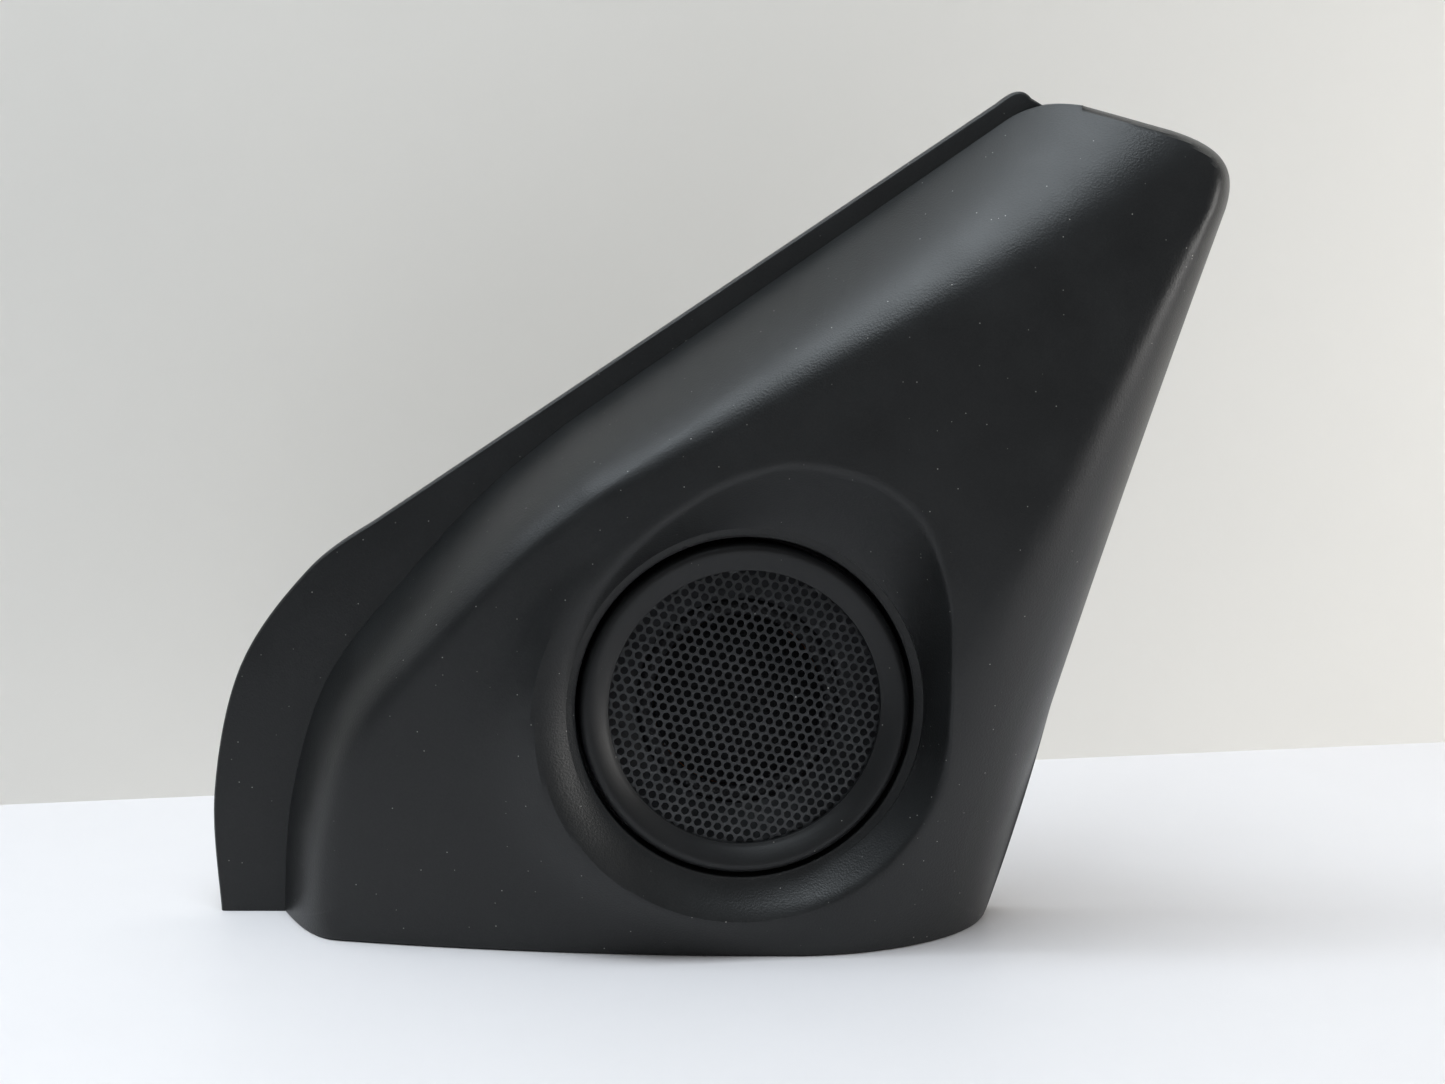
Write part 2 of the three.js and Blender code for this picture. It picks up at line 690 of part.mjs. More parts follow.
function bezelRing() {
  const profile = [[grilleRadius, lipBottom], [boreRadius, lipBottom], [boreRadius, flangeBottom]];
  profile.push([bezelFlangeRadius, flangeBottom], [bezelFlangeRadius, flangeTop], [bezelRadius, flangeTop]);
  for (let i = 0; i <= 4; i += 1) {
    const angle = i / 4 * Math.PI / 2;
    const r = bezelRadius - bezelShoulder + bezelShoulder * Math.cos(angle);
    profile.push([r, -bezelShoulder + bezelShoulder * Math.sin(angle)]);
  }
  profile.push([grilleRadius + 0.25, lipTop + 0.08], [grilleRadius, lipTop - 0.15], [grilleRadius, lipBottom]);
  const ring = solidOf(turned(profile, 48));
  const ears = earAngles.map((angle) => {
    const [x, y] = bossPlace(angle);
    const pad = turnedDisc(earRadius, flangeBottom, flangeTop, smallSides);
    const bridge = block([boreRadius + 1, earCircle], [-earRadius, earRadius], [flangeBottom, flangeTop]);
    bridge.rotateZ(THREE.MathUtils.degToRad(angle));
    return joined(solidOf(moved(pad, x, y)), solidOf(bridge));
  });
  const holes = earAngles.map((angle) => {
    const [x, y] = bossPlace(angle);
    return solidOf(moved(turnedDisc(screwRadius + screwHoleGap, flangeBottom - 1, flangeTop + 1, 12), x, y));
  });
  return cut(joined(ring, ...ears), ...holes);
}

function grilleMesh() {
  const top = [];
  const under = [];
  for (let i = 0; i <= 4; i += 1) {
    const r = grilleRadius * i / 4;
    const lift = grilleDoming * (1 - (r / grilleRadius) ** 2);
    top.push([r, grilleEdgeTop + lift]);
    under.unshift([r, grilleEdgeTop + lift - grilleThickness]);
  }
  const inner = grilleRim - grilleThickness;
  return turned([
    ...top,
    [grilleRim, grilleEdgeTop],
    [grilleRim, skirtEnd],
    [inner, skirtEnd],
    [inner, grilleEdgeTop - grilleThickness],
    ...under,
  ]);
}

function mountingGasket() {
  return turnedRing(bezelRadius + joinGap, bezelFlangeRadius, gasketTop - gasketThickness, gasketTop);
}

function hornPlate() {
  return turned([
    [hornMouth, hornTop],
    [grilleRim, hornTop],
    [grilleRim, hornBottom],
    [hornThroat, hornBottom],
    [hornThroat, hornBottom + hornThroatLength],
    [hornMouth, hornTop],
  ]);
}

function domeDiaphragm() {
  const outer = [];
  const inner = [];
  for (let i = 0; i <= 5; i += 1) {
    const r = domeRadius * i / 5;
    const lift = domeRise * (1 - (r / domeRadius) ** 2);
    outer.push([r, domeEdge + lift]);
    inner.unshift([r, domeEdge + lift - filmThickness]);
  }
  return turned([...outer, ...inner]);
}

function surround() {
  const from = domeRadius + joinGap;
  const to = hornThroat - joinGap;
  const [middle, half] = [(from + to) / 2, (to - from) / 2];
  const over = [];
  const under = [];
  for (let i = 0; i <= 4; i += 1) {
    const angle = Math.PI * (1 - i / 4);
    over.push([middle + half * Math.cos(angle), clampTop + surroundRoll * Math.sin(angle)]);
    const thinner = 1 - filmThickness / half;
    const low = clampBottom + (surroundRoll - filmThickness) * Math.sin(angle) + 0.12 * Math.sin(angle);
    under.unshift([middle + half * thinner * Math.cos(angle), low]);
  }
  return turned([...over, [mountRingOuter, clampTop], [mountRingOuter, clampBottom], ...under, over[0]]);
}

function voiceCoilFormer() {
  const top = domeEdge - filmThickness - 0.2;
  return turnedRing(formerOuter - formerWall, formerOuter, top - formerLength, top);
}

function voiceCoilWinding() {
  const middle = (plateTop + plateBottom) / 2;
  const [low, high] = [middle - windingLength / 2, middle + windingLength / 2];
  return turnedRing(windingInner, windingInner + windingWall, low, high);
}

function wireSlot(degrees, low, high) {
  const slot = block([yokeRadius + slotFloor, housingInner - 0.05], [-wireNotch / 2, wireNotch / 2], [low, high]);
  return solidOf(slot.rotateZ(THREE.MathUtils.degToRad(degrees)));
}

function yokeCup() {
  const cup = solidOf(turned([
    [0, yokeFloorTop],
    [yokeBore, yokeFloorTop],
    [yokeBore, yokeTop],
    [mountRingOuter, yokeTop],
    [mountRingOuter, yokeFlangeBottom],
    [yokeRadius, yokeFlangeBottom],
    [yokeRadius, yokeBottom],
    [0, yokeBottom],
  ]));
  const slots = [negativeAngle, positiveAngle].map((a) => wireSlot(a, yokeFlangeBottom - 1, yokeTop + 1));
  return cut(cup, ...slots);
}

const ledgeBottom = yokeFlangeBottom - joinGap - ledgeThickness;
const housingFlangeTop = flangeBottom - joinGap;
const socketLow = housingBottom - socketDrop;
const socketHigh = socketLow + socketHeight;
const bladeHeight = (socketLow + socketHigh) / 2;
const capacitorHeight = housingBottom + capacitorRadius + 0.6;

function capacitorTube(radius, length) {
  const tube = new THREE.CylinderGeometry(radius, radius, length, smallSides);
  return tube.rotateZ(Math.PI / 2).translate(0, -capacitorCentre, capacitorHeight);
}

function bladeAt(degrees) {
  return wireCircle * Math.sin(THREE.MathUtils.degToRad(degrees));
}

function leadHole(degrees, height) {
  const hole = new THREE.CylinderGeometry(wireRadius + leadGap, wireRadius + leadGap, 6, 12);
  hole.rotateZ(Math.PI / 2).translate(housingInner + 0.8, 0, height);
  return solidOf(hole.rotateZ(THREE.MathUtils.degToRad(degrees)));
}

const leadHeight = capacitorHeight + 1;
function rearHousing() {
  const front = hornBottom - joinGap;
  const cup = solidOf(turned([
    [0, housingFloorTop],
    [housingInner, housingFloorTop],
    [housingInner, ledgeBottom],
    [yokeRadius + slotFloor, ledgeBottom],
    [yokeRadius + slotFloor, yokeFlangeBottom - joinGap],
    [mountRingOuter + joinGap, yokeFlangeBottom - joinGap],
    [mountRingOuter + joinGap, front],
    [grilleRim, front],
    [grilleRim, housingFlangeTop],
    [housingOuter + housingFlangeWidth, housingFlangeTop],
    [housingOuter + housingFlangeWidth, housingFlangeTop - housingFlange],
    [housingOuter, housingFlangeTop - housingFlange],
    [housingOuter, housingBottom],
    [0, housingBottom],
  ]));
  const halfWidth = socketWidth / 2;
  const shroud = solidOf(block([-socketReach, -housingInner - 0.4], [-halfWidth, halfWidth],
    [socketLow, socketHigh]));
  const cavity = solidOf(block([-socketReach - 1, -housingOuter - 1.6],
    [-halfWidth + socketWall, halfWidth - socketWall], [socketLow + socketWall, socketHigh - socketWall]));
  const saddle = solidOf(block([-saddleLength / 2, saddleLength / 2], [-capacitorCentre, -housingInner - 0.4],
    [housingBottom, capacitorHeight + capacitorRadius]));
  const trough = solidOf(capacitorTube(capacitorRadius + joinGap, 40));
  const clearFlange = solidOf(turnedDisc(housingInner, housingFloorTop, front + 1));
  const slots = [negativeAngle, positiveAngle].map((a) => wireSlot(a, ledgeBottom - 1, ringBottom));
  const blades = [negativeAngle, feedAngle].map((angle) => {
    const y = bladeAt(angle);
    const [halfBlade, halfThick] = [bladeWidth / 2 + joinGap, bladeThickness / 2 + joinGap];
    return solidOf(block([-socketReach, -housingInner + 2], [y - halfBlade, y + halfBlade],
      [bladeHeight - halfThick, bladeHeight + halfThick]));
  });
  const bore = shroud.subtract(clearFlange);
  const holes = [leadHole(leadInAngle, leadHeight), leadHole(positiveAngle, leadHeight)];
  const outside = joined(cup, bore, saddle.subtract(clearFlange));
  const body = cut(outside, cavity, trough, ...slots, ...blades, ...holes);
  const screwRoom = earAngles.map((angle) => {
    const [x, y] = bossPlace(angle);
    return solidOf(moved(turnedDisc(screwHeadRadius + 0.8, housingFlangeTop - 8, housingFlangeTop + 1), x, y));
  });
  return cut(body, ...screwRoom);
}

function terminal(angle) {
  const y = bladeAt(angle);
  return block([-socketReach + bladeRecess, -wireCircle - 0.1], [y - bladeWidth / 2, y + bladeWidth / 2],
    [bladeHeight - bladeThickness / 2, bladeHeight + bladeThickness / 2]);
}

function coilTab(degrees) {
  const tab = block([yokeRadius + slotFloor + joinGap, mountRingOuter - 0.1], [-1.5, 1.5],
    [yokeFlangeBottom, ringBottom - joinGap]);
  return tab.rotateZ(THREE.MathUtils.degToRad(degrees));
}

function coilLead(degrees, low) {
  const high = yokeFlangeBottom - joinGap - wireRadius * 0.2;
  const middle = (low + high) / 2;
  return wire([
    onCircle(wireCircle, degrees, high),
    onCircle(wireCircle + 0.25, degrees + 1, middle),
    onCircle(wireCircle, degrees, low),
  ], wireRadius, 8);
}

// From a capacitor's end, up beside it, through the housing's wall.
function capacitorLead(side, degrees) {
  const start = [side * (capacitorLength / 2 + joinGap), -capacitorCentre, capacitorHeight];
  const out = [side * (capacitorLength / 2 + 1.6), -capacitorCentre + 0.6, capacitorHeight + 0.3];
  const through = [housingOuter + 1.4, housingOuter, housingInner, housingInner - 0.5];
  return [start, out, ...through.map((radius) => onCircle(radius, degrees, leadHeight))];
}

function capacitorLeadIn() {
  const around = [];
  for (let angle = leadInAngle - 8; angle > feedAngle + 8; angle -= 12) {
    around.push(onCircle(wireCircle, angle, THREE.MathUtils.lerp(leadHeight, bladeHeight + 1.2, 0.5)));
  }
  const end = onCircle(wireCircle, feedAngle + 1, bladeHeight + bladeThickness / 2 + joinGap + wireRadius);
  return wire([...capacitorLead(-1, leadInAngle), ...around, end], wireRadius, 36);
}

function capacitorLeadOut() {
  const points = [...capacitorLead(1, positiveAngle), onCircle(wireCircle, positiveAngle, leadHeight)];
  return wire(points, wireRadius, 14);
}

function tweeterScrew(degrees) {
  const headTop = flangeBottom - joinGap;
  const tip = sleeveEnd + screwReach;
  const screw = turned([
    [0, tip],
    [screwRadius * 0.5, tip - 0.6],
    [screwRadius, tip - 1.6],
    [screwRadius, headTop],
    [screwHeadRadius, headTop],
    [screwHeadRadius, headTop - screwHead * 0.5],
    [screwHeadRadius * 0.72, headTop - screwHead],
    [0, headTop - screwHead],
  ], smallSides);
  const [x, y] = bossPlace(degrees);
  const slot = (length, width) => block([-length, length], [-width, width],
    [headTop - screwHead - 1, headTop - screwHead * 0.45]);
  const cross = joined(solidOf(slot(1.3, 0.35)), solidOf(slot(0.35, 1.3)));
  return geometryOf(solidOf(screw).subtract(cross)).translate(x, y, 0);
}

// ---- Door clips, foam ---------------------------------------------------------------------------------------

// A push-in clip, turned about Y: a head behind the tower's end plate, a neck, a collar and two barbs.
function doorClip() {
  const headTop = towerSeat - towerWall - joinGap;
  const collarLow = towerSeat + joinGap;
  const collarHigh = collarLow + clipCollarThickness;
  const profile = [[0, headTop - clipHeadThickness], [clipHead, headTop - clipHeadThickness]];
  profile.push([clipHead, headTop], [clipNeck, headTop], [clipNeck, collarLow], [clipCollar, collarLow]);
  profile.push([clipCollar, collarHigh], [clipNeck, collarHigh]);
  const barbStart = collarHigh + sealThickness + 1;
  const barbPitch = (clipReach - barbStart) / 2;
  for (let i = 0; i < 2; i += 1) {
    const y = barbStart + i * barbPitch;
    const reach = clipBarb - 0.8 * i;
    profile.push([clipNeck - 0.4, y], [reach, y + 0.2], [reach, y + 0.6]);
  }
  profile.push([clipTip, clipReach], [0, clipReach]);
  const points = profile.map(([r, y]) => new THREE.Vector2(r, y));
  return closedGeometry(new THREE.LatheGeometry(points, smallSides));
}

function clipSeal() {
  const low = towerSeat + joinGap + clipCollarThickness + joinGap;
  const inner = clipNeck + joinGap;
  const outer = clipCollar + sealRim;
  const profile = [[inner, low], [outer, low], [outer, low + sealThickness], [inner, low + sealThickness]];
  const points = [...profile, profile[0]].map(([r, y]) => new THREE.Vector2(r, y));
  return closedGeometry(new THREE.LatheGeometry(points, smallSides));
}

// A strip behind the flange's widest stretch.
function edgeFoamStrip() {
  const outer = new THREE.SplineCurve([
    drawn(-79, 3),
    drawn(-79.3, 19),
    drawn(-74.8, 37.6),
    drawn(-64.8, 51.4),
    drawn(-54.5, 59),
  ]);
  const steps = 14;
  const [one, other] = [[], []];
  for (let i = 0; i <= steps; i += 1) {
    const place = outer.getPoint(i / steps);
    const along = outer.getTangent(i / steps);
    one.push([place.x, place.y]);
    other.unshift([place.x + along.y * foamWidth, place.y - along.x * foamWidth]);
  }
  return plate([...one, ...other], joinGap * 0.5, foamThickness);
}

// ---- Assembly -----------------------------------------------------------------------------------------------

function material(color, roughness, metalness) {
  return new THREE.MeshStandardMaterial({ color, roughness, metalness });
}

function named(name, geometry, look) {
  const mesh = new THREE.Mesh(geometry, look);
  mesh.name = name;
  return mesh;
}

const sailTweeter = new THREE.Group();
sailTweeter.add(named('trim_panel', geometryOf(trimPanel()), material(0x1d1e20, 0.62, 0)));
sailTweeter.add(named('edge_foam_strip', edgeFoamStrip(), material(0x2b2c2e, 0.95, 0)));
Object.entries(clipPlaces).forEach(([place, [x, z]]) => {
  const clip = named(`door_clip_${place}`, doorClip(), material(0xd8d4c4, 0.5, 0));
  const seal = named(`clip_seal_${place}`, clipSeal(), material(0x3a3b3d, 0.95, 0));
  clip.position.set(x, 0, z);
  seal.position.set(x, 0, z);
  sailTweeter.add(clip, seal);
});

const tweeter = new THREE.Group();
tweeter.applyMatrix4(tweeterFrame);
tweeter.add(named('bezel_ring', geometryOf(bezelRing()), material(0x18191b, 0.45, 0)));
tweeter.add(named('grille_mesh', grilleMesh(), material(0x2a2b2d, 0.4, 0.6)));
tweeter.add(named('mounting_gasket', mountingGasket(), material(0x26272a, 0.95, 0)));
tweeter.add(named('horn_plate', hornPlate(), material(0x141416, 0.18, 0)));
tweeter.add(named('surround', surround(), material(0x303034, 0.8, 0)));
tweeter.add(named('diaphragm_mount_ring', turnedRing(mountRingInner, mountRingOuter, ringBottom, ringTop),
  material(0x202123, 0.5, 0)));
tweeter.add(named('coil_tab_positive', coilTab(positiveAngle), material(0xc9a24a, 0.35, 1)));
tweeter.add(named('coil_tab_negative', coilTab(negativeAngle), material(0xc9a24a, 0.35, 1)));
tweeter.add(named('dome_damping_pad', turnedDisc(poleRadius - 2, plateTop + joinGap,
  plateTop + joinGap + padThickness), material(0x55524c, 1, 0)));
tweeter.add(named('pole_plate', turnedDisc(poleRadius, plateBottom, plateTop), material(0x9a9ca0, 0.35, 1)));
tweeter.add(named('magnet', turnedDisc(magnetRadius, magnetBottom, magnetTop), material(0xb9bcc0, 0.25, 1)));
tweeter.add(named('yoke_cup', geometryOf(yokeCup()), material(0x8f9296, 0.4, 1)));
tweeter.add(named('rear_damping_pad', turnedDisc(yokeRadius - 1, rearPadTop - rearPad, rearPadTop),
  material(0x3c3d40, 1, 0)));
tweeter.add(named('rear_housing', geometryOf(rearHousing()), material(0x17181a, 0.55, 0)));
tweeter.add(named('terminal_positive', terminal(feedAngle), material(0xb8bbc0, 0.3, 1)));
tweeter.add(named('terminal_negative', terminal(negativeAngle), material(0xb8bbc0, 0.3, 1)));
const capacitor = capacitorTube(capacitorRadius, capacitorLength);
tweeter.add(named('crossover_capacitor', capacitor, material(0x1c2a55, 0.35, 0)));
tweeter.add(named('capacitor_lead_in', capacitorLeadIn(), material(0xb0b3b8, 0.3, 1)));
tweeter.add(named('capacitor_lead_out', capacitorLeadOut(), material(0xb0b3b8, 0.3, 1)));
tweeter.add(named('coil_lead_positive', coilLead(positiveAngle, leadHeight + 2 * wireRadius + joinGap),
  material(0xb3232a, 0.6, 0)));
tweeter.add(named('coil_lead_negative', coilLead(negativeAngle, bladeHeight + bladeThickness / 2 + joinGap),
  material(0x1a1a1c, 0.6, 0)));
earAngles.forEach((angle, number) => {
  tweeter.add(named(`tweeter_screw_${number + 1}`, tweeterScrew(angle), material(0x8d9095, 0.35, 1)));
});

// The moving assembly: dome, former and winding, which travel together along the tweeter's axis.
const movingAssembly = new THREE.Group();
movingAssembly.add(named('dome_diaphragm', domeDiaphragm(), material(0x8d8f93, 0.5, 0)));
movingAssembly.add(named('voice_coil_former', voiceCoilFormer(), material(0xc9b27c, 0.5, 0)));
movingAssembly.add(named('voice_coil_winding', voiceCoilWinding(), material(0xb56a32, 0.35, 1)));
tweeter.add(movingAssembly);
sailTweeter.add(tweeter);

export default sailTweeter;
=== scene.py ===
import math

import bmesh
import bpy
import numpy as np
from mathutils import Matrix, Vector
from mathutils.geometry import delaunay_2d_cdt, tessellate_polygon


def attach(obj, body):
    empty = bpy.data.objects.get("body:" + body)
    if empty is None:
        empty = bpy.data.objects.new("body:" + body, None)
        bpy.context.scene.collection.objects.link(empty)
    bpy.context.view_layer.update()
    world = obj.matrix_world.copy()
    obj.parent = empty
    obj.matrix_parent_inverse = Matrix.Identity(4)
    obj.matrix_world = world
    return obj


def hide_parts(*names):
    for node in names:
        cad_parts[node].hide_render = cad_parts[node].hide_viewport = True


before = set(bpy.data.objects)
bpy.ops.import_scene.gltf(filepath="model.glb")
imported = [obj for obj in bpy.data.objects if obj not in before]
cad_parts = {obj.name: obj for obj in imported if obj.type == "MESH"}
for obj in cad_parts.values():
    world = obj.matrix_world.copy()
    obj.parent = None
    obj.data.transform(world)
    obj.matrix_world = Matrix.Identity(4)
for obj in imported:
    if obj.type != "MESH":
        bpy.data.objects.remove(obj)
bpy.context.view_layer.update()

STATIC = "panel_and_tweeter"
MOVING = "diaphragm_assembly"

# ---------------------------------------------------------------- sizes, in millimetres

WALL, WALL_LIMIT = 2.5, 1.7     # the shell's wall, and the most it grows where the face is steep
FLANGE = 2.5
SLOPE = (0.8232, 0.5678)        # direction of the panel's long sloping edge, in X and Z
TIP = (-27.3, 76.2)             # where the flange's curve ends and that edge begins
CROWN, CROWN_AT, CROWN_BEND = 27.5, (5, 45), 0.00164    # highest depth, its place, and the fall from there
EDGE_DEPTH = 2                  # depth of the face at the upright edge
ROLL_FOOT, ROLL_TOP, ROLL_TIP = 30, 4.5, 0.9            # widths of the roll over that edge
UPRIGHT_TOP = 108.6
CLIPS = (("upper", 50, 96), ("lower", -54, 20))     # name and place in X and Z

# The tweeter's own frame: Z along its axis, towards the listener, and Y up.
POD = np.array([0.0, -22.0, 37.0])
YAW, PITCH = math.radians(8.3), math.radians(5)
AXIS = np.array([math.sin(YAW) * math.cos(PITCH), -math.cos(YAW) * math.cos(PITCH), math.sin(PITCH)])
RIGHT = np.cross([0, 0, 1], AXIS)
RIGHT /= np.linalg.norm(RIGHT)
UP = np.cross(AXIS, RIGHT)
TWEETER = Matrix((
    (RIGHT[0], UP[0], AXIS[0], POD[0]),
    (RIGHT[1], UP[1], AXIS[1], POD[1]),
    (RIGHT[2], UP[2], AXIS[2], POD[2]),
    (0, 0, 0, 1),
))

GRILLE_R, BORE_R, BEZEL_R = 20.1, 21.9, 24.3
SLEEVE_IN, SLEEVE_OUT, LIP_R = 25.0, 27.2, 25.3
FLANGE_R, EAR_CIRCLE = 26.6, 30.0
EARS = (90, 210, 330)
SLEEVE_END, GASKET_TOP, GASKET_LOW = -8.0, -8.3, -9.1
FLANGE_TOP, FLANGE_LOW = -9.4, -11.2
LIP_TOP, LIP_LOW, GRILLE_TOP, SKIRT_END = -1.3, -1.9, -2.2, -4.3
HORN_TOP, HORN_LOW = -4.6, -8.8
HOUSING_IN, HOUSING_OUT, HOUSING_LOW = 18.7, 20.3, -20.9
SOCKET_LOW, SOCKET_HIGH = -23.3, -12.7
SOCKET_MIDDLE = (SOCKET_LOW + SOCKET_HIGH) / 2
WIRE_R = (15.05 + HOUSING_IN) / 2                   # half-way between the yoke and the housing
BLADES = {"positive": 189, "negative": 172}         # degrees round the tweeter
CAPACITOR_Y, CAPACITOR_H = -25.4, -16.3
DOME_R = 12.6
HOLE_PITCH, HOLE_R, ROWS_TURNED = 1.5, 0.585, -14.3
SHEET = 0.32                    # thickness of the grille

# Round the tweeter, from the right and on over the top: degrees, width of the bowl's wall, how hollow it is, and
# how softly it rounds over into the face.
POD_EDGE = np.array([
    (0, 4.5, 1.2, 1.4), (15, 5.7, 1.25, 1), (30, 8.9, 1.25, 0.8), (52, 13.6, 1.2, 0.8), (76, 12.4, 1.15, 0.8),
    (90, 9.7, 1.1, 0.8), (110, 5.6, 1, 1), (130, 3.4, 0.9, 1.3), (150, 3, 0.85, 1.7), (170, 3.4, 0.85, 1.9),
    (192, 4.4, 1.1, 1.9), (225, 5.3, 1.4, 1.7), (270, 5.6, 1.5, 1.5), (315, 5.6, 1.5, 1.2),
    (338, 5.4, 1.4, 1.2), (350, 4.8, 1.3, 1.4),
], float)
# The collar round the pod: its crest, its slope outside the crest, and the bowl's inner edge.
CREST_R, CREST_H, COLLAR_SLOPE, COLLAR_BLEND, LIP_H = LIP_R + 5.7, 1.84, 0.8, 2.0, -1.0

# ---------------------------------------------------------------- the panel's outline and surface


def spline(points, count):
    """Points along a uniform Catmull-Rom curve, count + 1 of them."""
    p = np.array(points, float)
    out = []
    for k in range(count + 1):
        at = (len(p) - 1) * k / count
        i = min(int(at), len(p) - 2)
        t = at - i
        p0, p1, p2, p3 = p[max(i - 1, 0)], p[i], p[i + 1], p[min(i + 2, len(p) - 1)]
        v0, v1 = (p2 - p0) / 2, (p3 - p1) / 2
        cubic, square = 2 * p1 - 2 * p2 + v0 + v1, 3 * p2 - 3 * p1 - 2 * v0 - v1
        out.append(cubic * t ** 3 + square * t ** 2 + v0 * t + p1)
    return np.array(out)


def bezier(points, count):
    """Points along a straight line, or a curve with one or two control points."""
    p = np.array(points, float)
    t = np.linspace(0, 1, count + 1)[:, None]
    if len(p) == 2:
        return p[0] * (1 - t) + p[1] * t
    if len(p) == 3:
        return p[0] * (1 - t) ** 2 + 2 * p[1] * t * (1 - t) + p[2] * t ** 2
    return p[0] * (1 - t) ** 3 + 3 * p[1] * t * (1 - t) ** 2 + 3 * p[2] * t ** 2 * (1 - t) + p[3] * t ** 3


def rim_curves(steps):
    """The six stretches of the body's rim, from the foot of the flange over the top to the right."""
    return [
        spline([(-71.6, 0), (-70.1, 18), (-64, 37.2), (-51.5, 53.1), (-39.3, 66.2), TIP], steps[0]),
        bezier([TIP, (37.5, 120.9)], steps[1]),
        bezier([(37.5, 120.9), (42.8, 124.8), (49.5, 123.5)], steps[2]),
        bezier([(49.5, 123.5), (62.5, 119.9)], steps[3]),
        bezier([(62.5, 119.9), (68.5, 118), (72.6, 115.6), (70.6, UPRIGHT_TOP)], steps[4]),
        bezier([(70.6, UPRIGHT_TOP), (52.2, 54.5), (36.9, 0)], steps[5]),
    ]


def rim(steps, inset=0.0):
    """The body's whole rim, moved inwards."""
    pieces = []
    for number, curve in enumerate(rim_curves(steps)):
        along = np.gradient(curve, axis=0)
        along /= np.linalg.norm(along, axis=1)[:, None]
        moved = curve + np.c_[along[:, 1], -along[:, 0]] * inset
        pieces.append(moved if number == 0 else moved[1:])
    return np.concatenate(pieces)


# Steps along the six stretches, for hidden surfaces and for the face.
COARSE = (12, 8, 3, 2, 5, 12)
FINE = (96, 84, 24, 14, 36, 92)
# The shoulder follows the flange, and runs on straight past its tip. Its width is given along the slope.
SLOPE_RUN = 153
FLANGE_PATH = np.concatenate([rim_curves(FINE)[0][::2], [[TIP[k] + SLOPE[k] * SLOPE_RUN for k in (0, 1)]]])
SHOULDER = np.array([(-60, 10), (-20, 10), (20, 10.5), (60, 14.5), (100, 19), (125, 20.5)])
UPRIGHT_PATH = rim_curves(FINE)[5][::4]
CORNER_PATH = np.concatenate([rim_curves(FINE)[3][::7], rim_curves(FINE)[4][2::2]])
CORNER_WIDTHS = np.linspace(ROLL_TIP, ROLL_TOP, len(CORNER_PATH) - 1)


def distance_to(points, path):
    """Distance of each point to the nearest place on a line of points."""
    best = np.full(len(points), 1e9)
    for a, b in zip(path[:-1], path[1:]):
        d = b - a
        share = np.clip(((points - a) @ d) / (d @ d), 0, 1)
        best = np.minimum(best, np.linalg.norm(points - a - share[:, None] * d, axis=1))
    return best


def smooth_lower(a, b, width):
    """The lower of two values, with a soft change where they are closer than the width."""
    overlap = np.maximum(width - np.abs(a - b), 0)
    return np.minimum(a, b) - overlap ** 2 / (4 * width)


def pod_edge(degrees, column=1):
    """A value of the pod's edge table at angles round the tweeter, smoothly between its rows."""
    a = np.concatenate([POD_EDGE[:, 0] - 360, POD_EDGE[:, 0], POD_EDGE[:, 0] + 360])
    w = np.tile(POD_EDGE[:, column], 3)
    turn = np.mod(degrees, 360)
    i = np.searchsorted(a, turn, side="right") - 1
    span = a[i + 1] - a[i]
    s = (turn - a[i]) / span
    m0 = (w[i + 1] - w[i - 1]) / (a[i + 1] - a[i - 1]) * span
    m1 = (w[i + 2] - w[i]) / (a[i + 2] - a[i]) * span
    start = (2 * s ** 3 - 3 * s ** 2 + 1) * w[i] + (s ** 3 - 2 * s ** 2 + s) * m0
    return start + (3 * s ** 2 - 2 * s ** 3) * w[i + 1] + (s ** 3 - s ** 2) * m1


def plane_depth(p, height):
    """Depth off the door of the plane square to the tweeter's axis."""
    return -POD[1] + (height - AXIS[0] * (p[:, 0] - POD[0]) - AXIS[2] * (p[:, 1] - POD[2])) / -AXIS[1]


def shoulder_share(p):
    """How far the shoulder has climbed from the flange to the face, 0 to 1."""
    along = p[:, 0] * SLOPE[0] + p[:, 1] * SLOPE[1]
    reach = np.interp(along, SHOULDER[:, 0], SHOULDER[:, 1])
    rest = 1 - np.minimum(distance_to(p, FLANGE_PATH) / reach, 1)
    return 1 - rest ** 2


def face_depth(p):
    """The crowned face, rolling over to the upright edge and round the top corner."""
    x, z = p[:, 0], p[:, 1]
    crown = CROWN - CROWN_BEND * ((x - CROWN_AT[0]) ** 2 + (z - CROWN_AT[1]) ** 2)
    width = ROLL_FOOT + (ROLL_TOP - ROLL_FOOT) * np.clip(z / UPRIGHT_TOP, 0, 1)
    share = distance_to(p, UPRIGHT_PATH) / width
    for a, b, w in zip(CORNER_PATH[:-1], CORNER_PATH[1:], CORNER_WIDTHS):
        share = np.minimum(share, distance_to(p, np.array([a, b])) / w)
    rolled = 1 - np.minimum(share, 1)
    return EDGE_DEPTH + (crown - EDGE_DEPTH) * np.sqrt(1 - rolled ** 2)


def tweeter_polar(p):
    """Radius and angle about the tweeter's axis, on the plane of the bowl's inner edge."""
    lip = plane_depth(p, LIP_H)
    away = np.c_[p[:, 0] - POD[0], -lip - POD[1], p[:, 1] - POD[2]]
    radius = np.sqrt(np.maximum((away ** 2).sum(1) - LIP_H ** 2, 0))
    return radius, np.degrees(np.arctan2(away @ UP, away @ RIGHT))


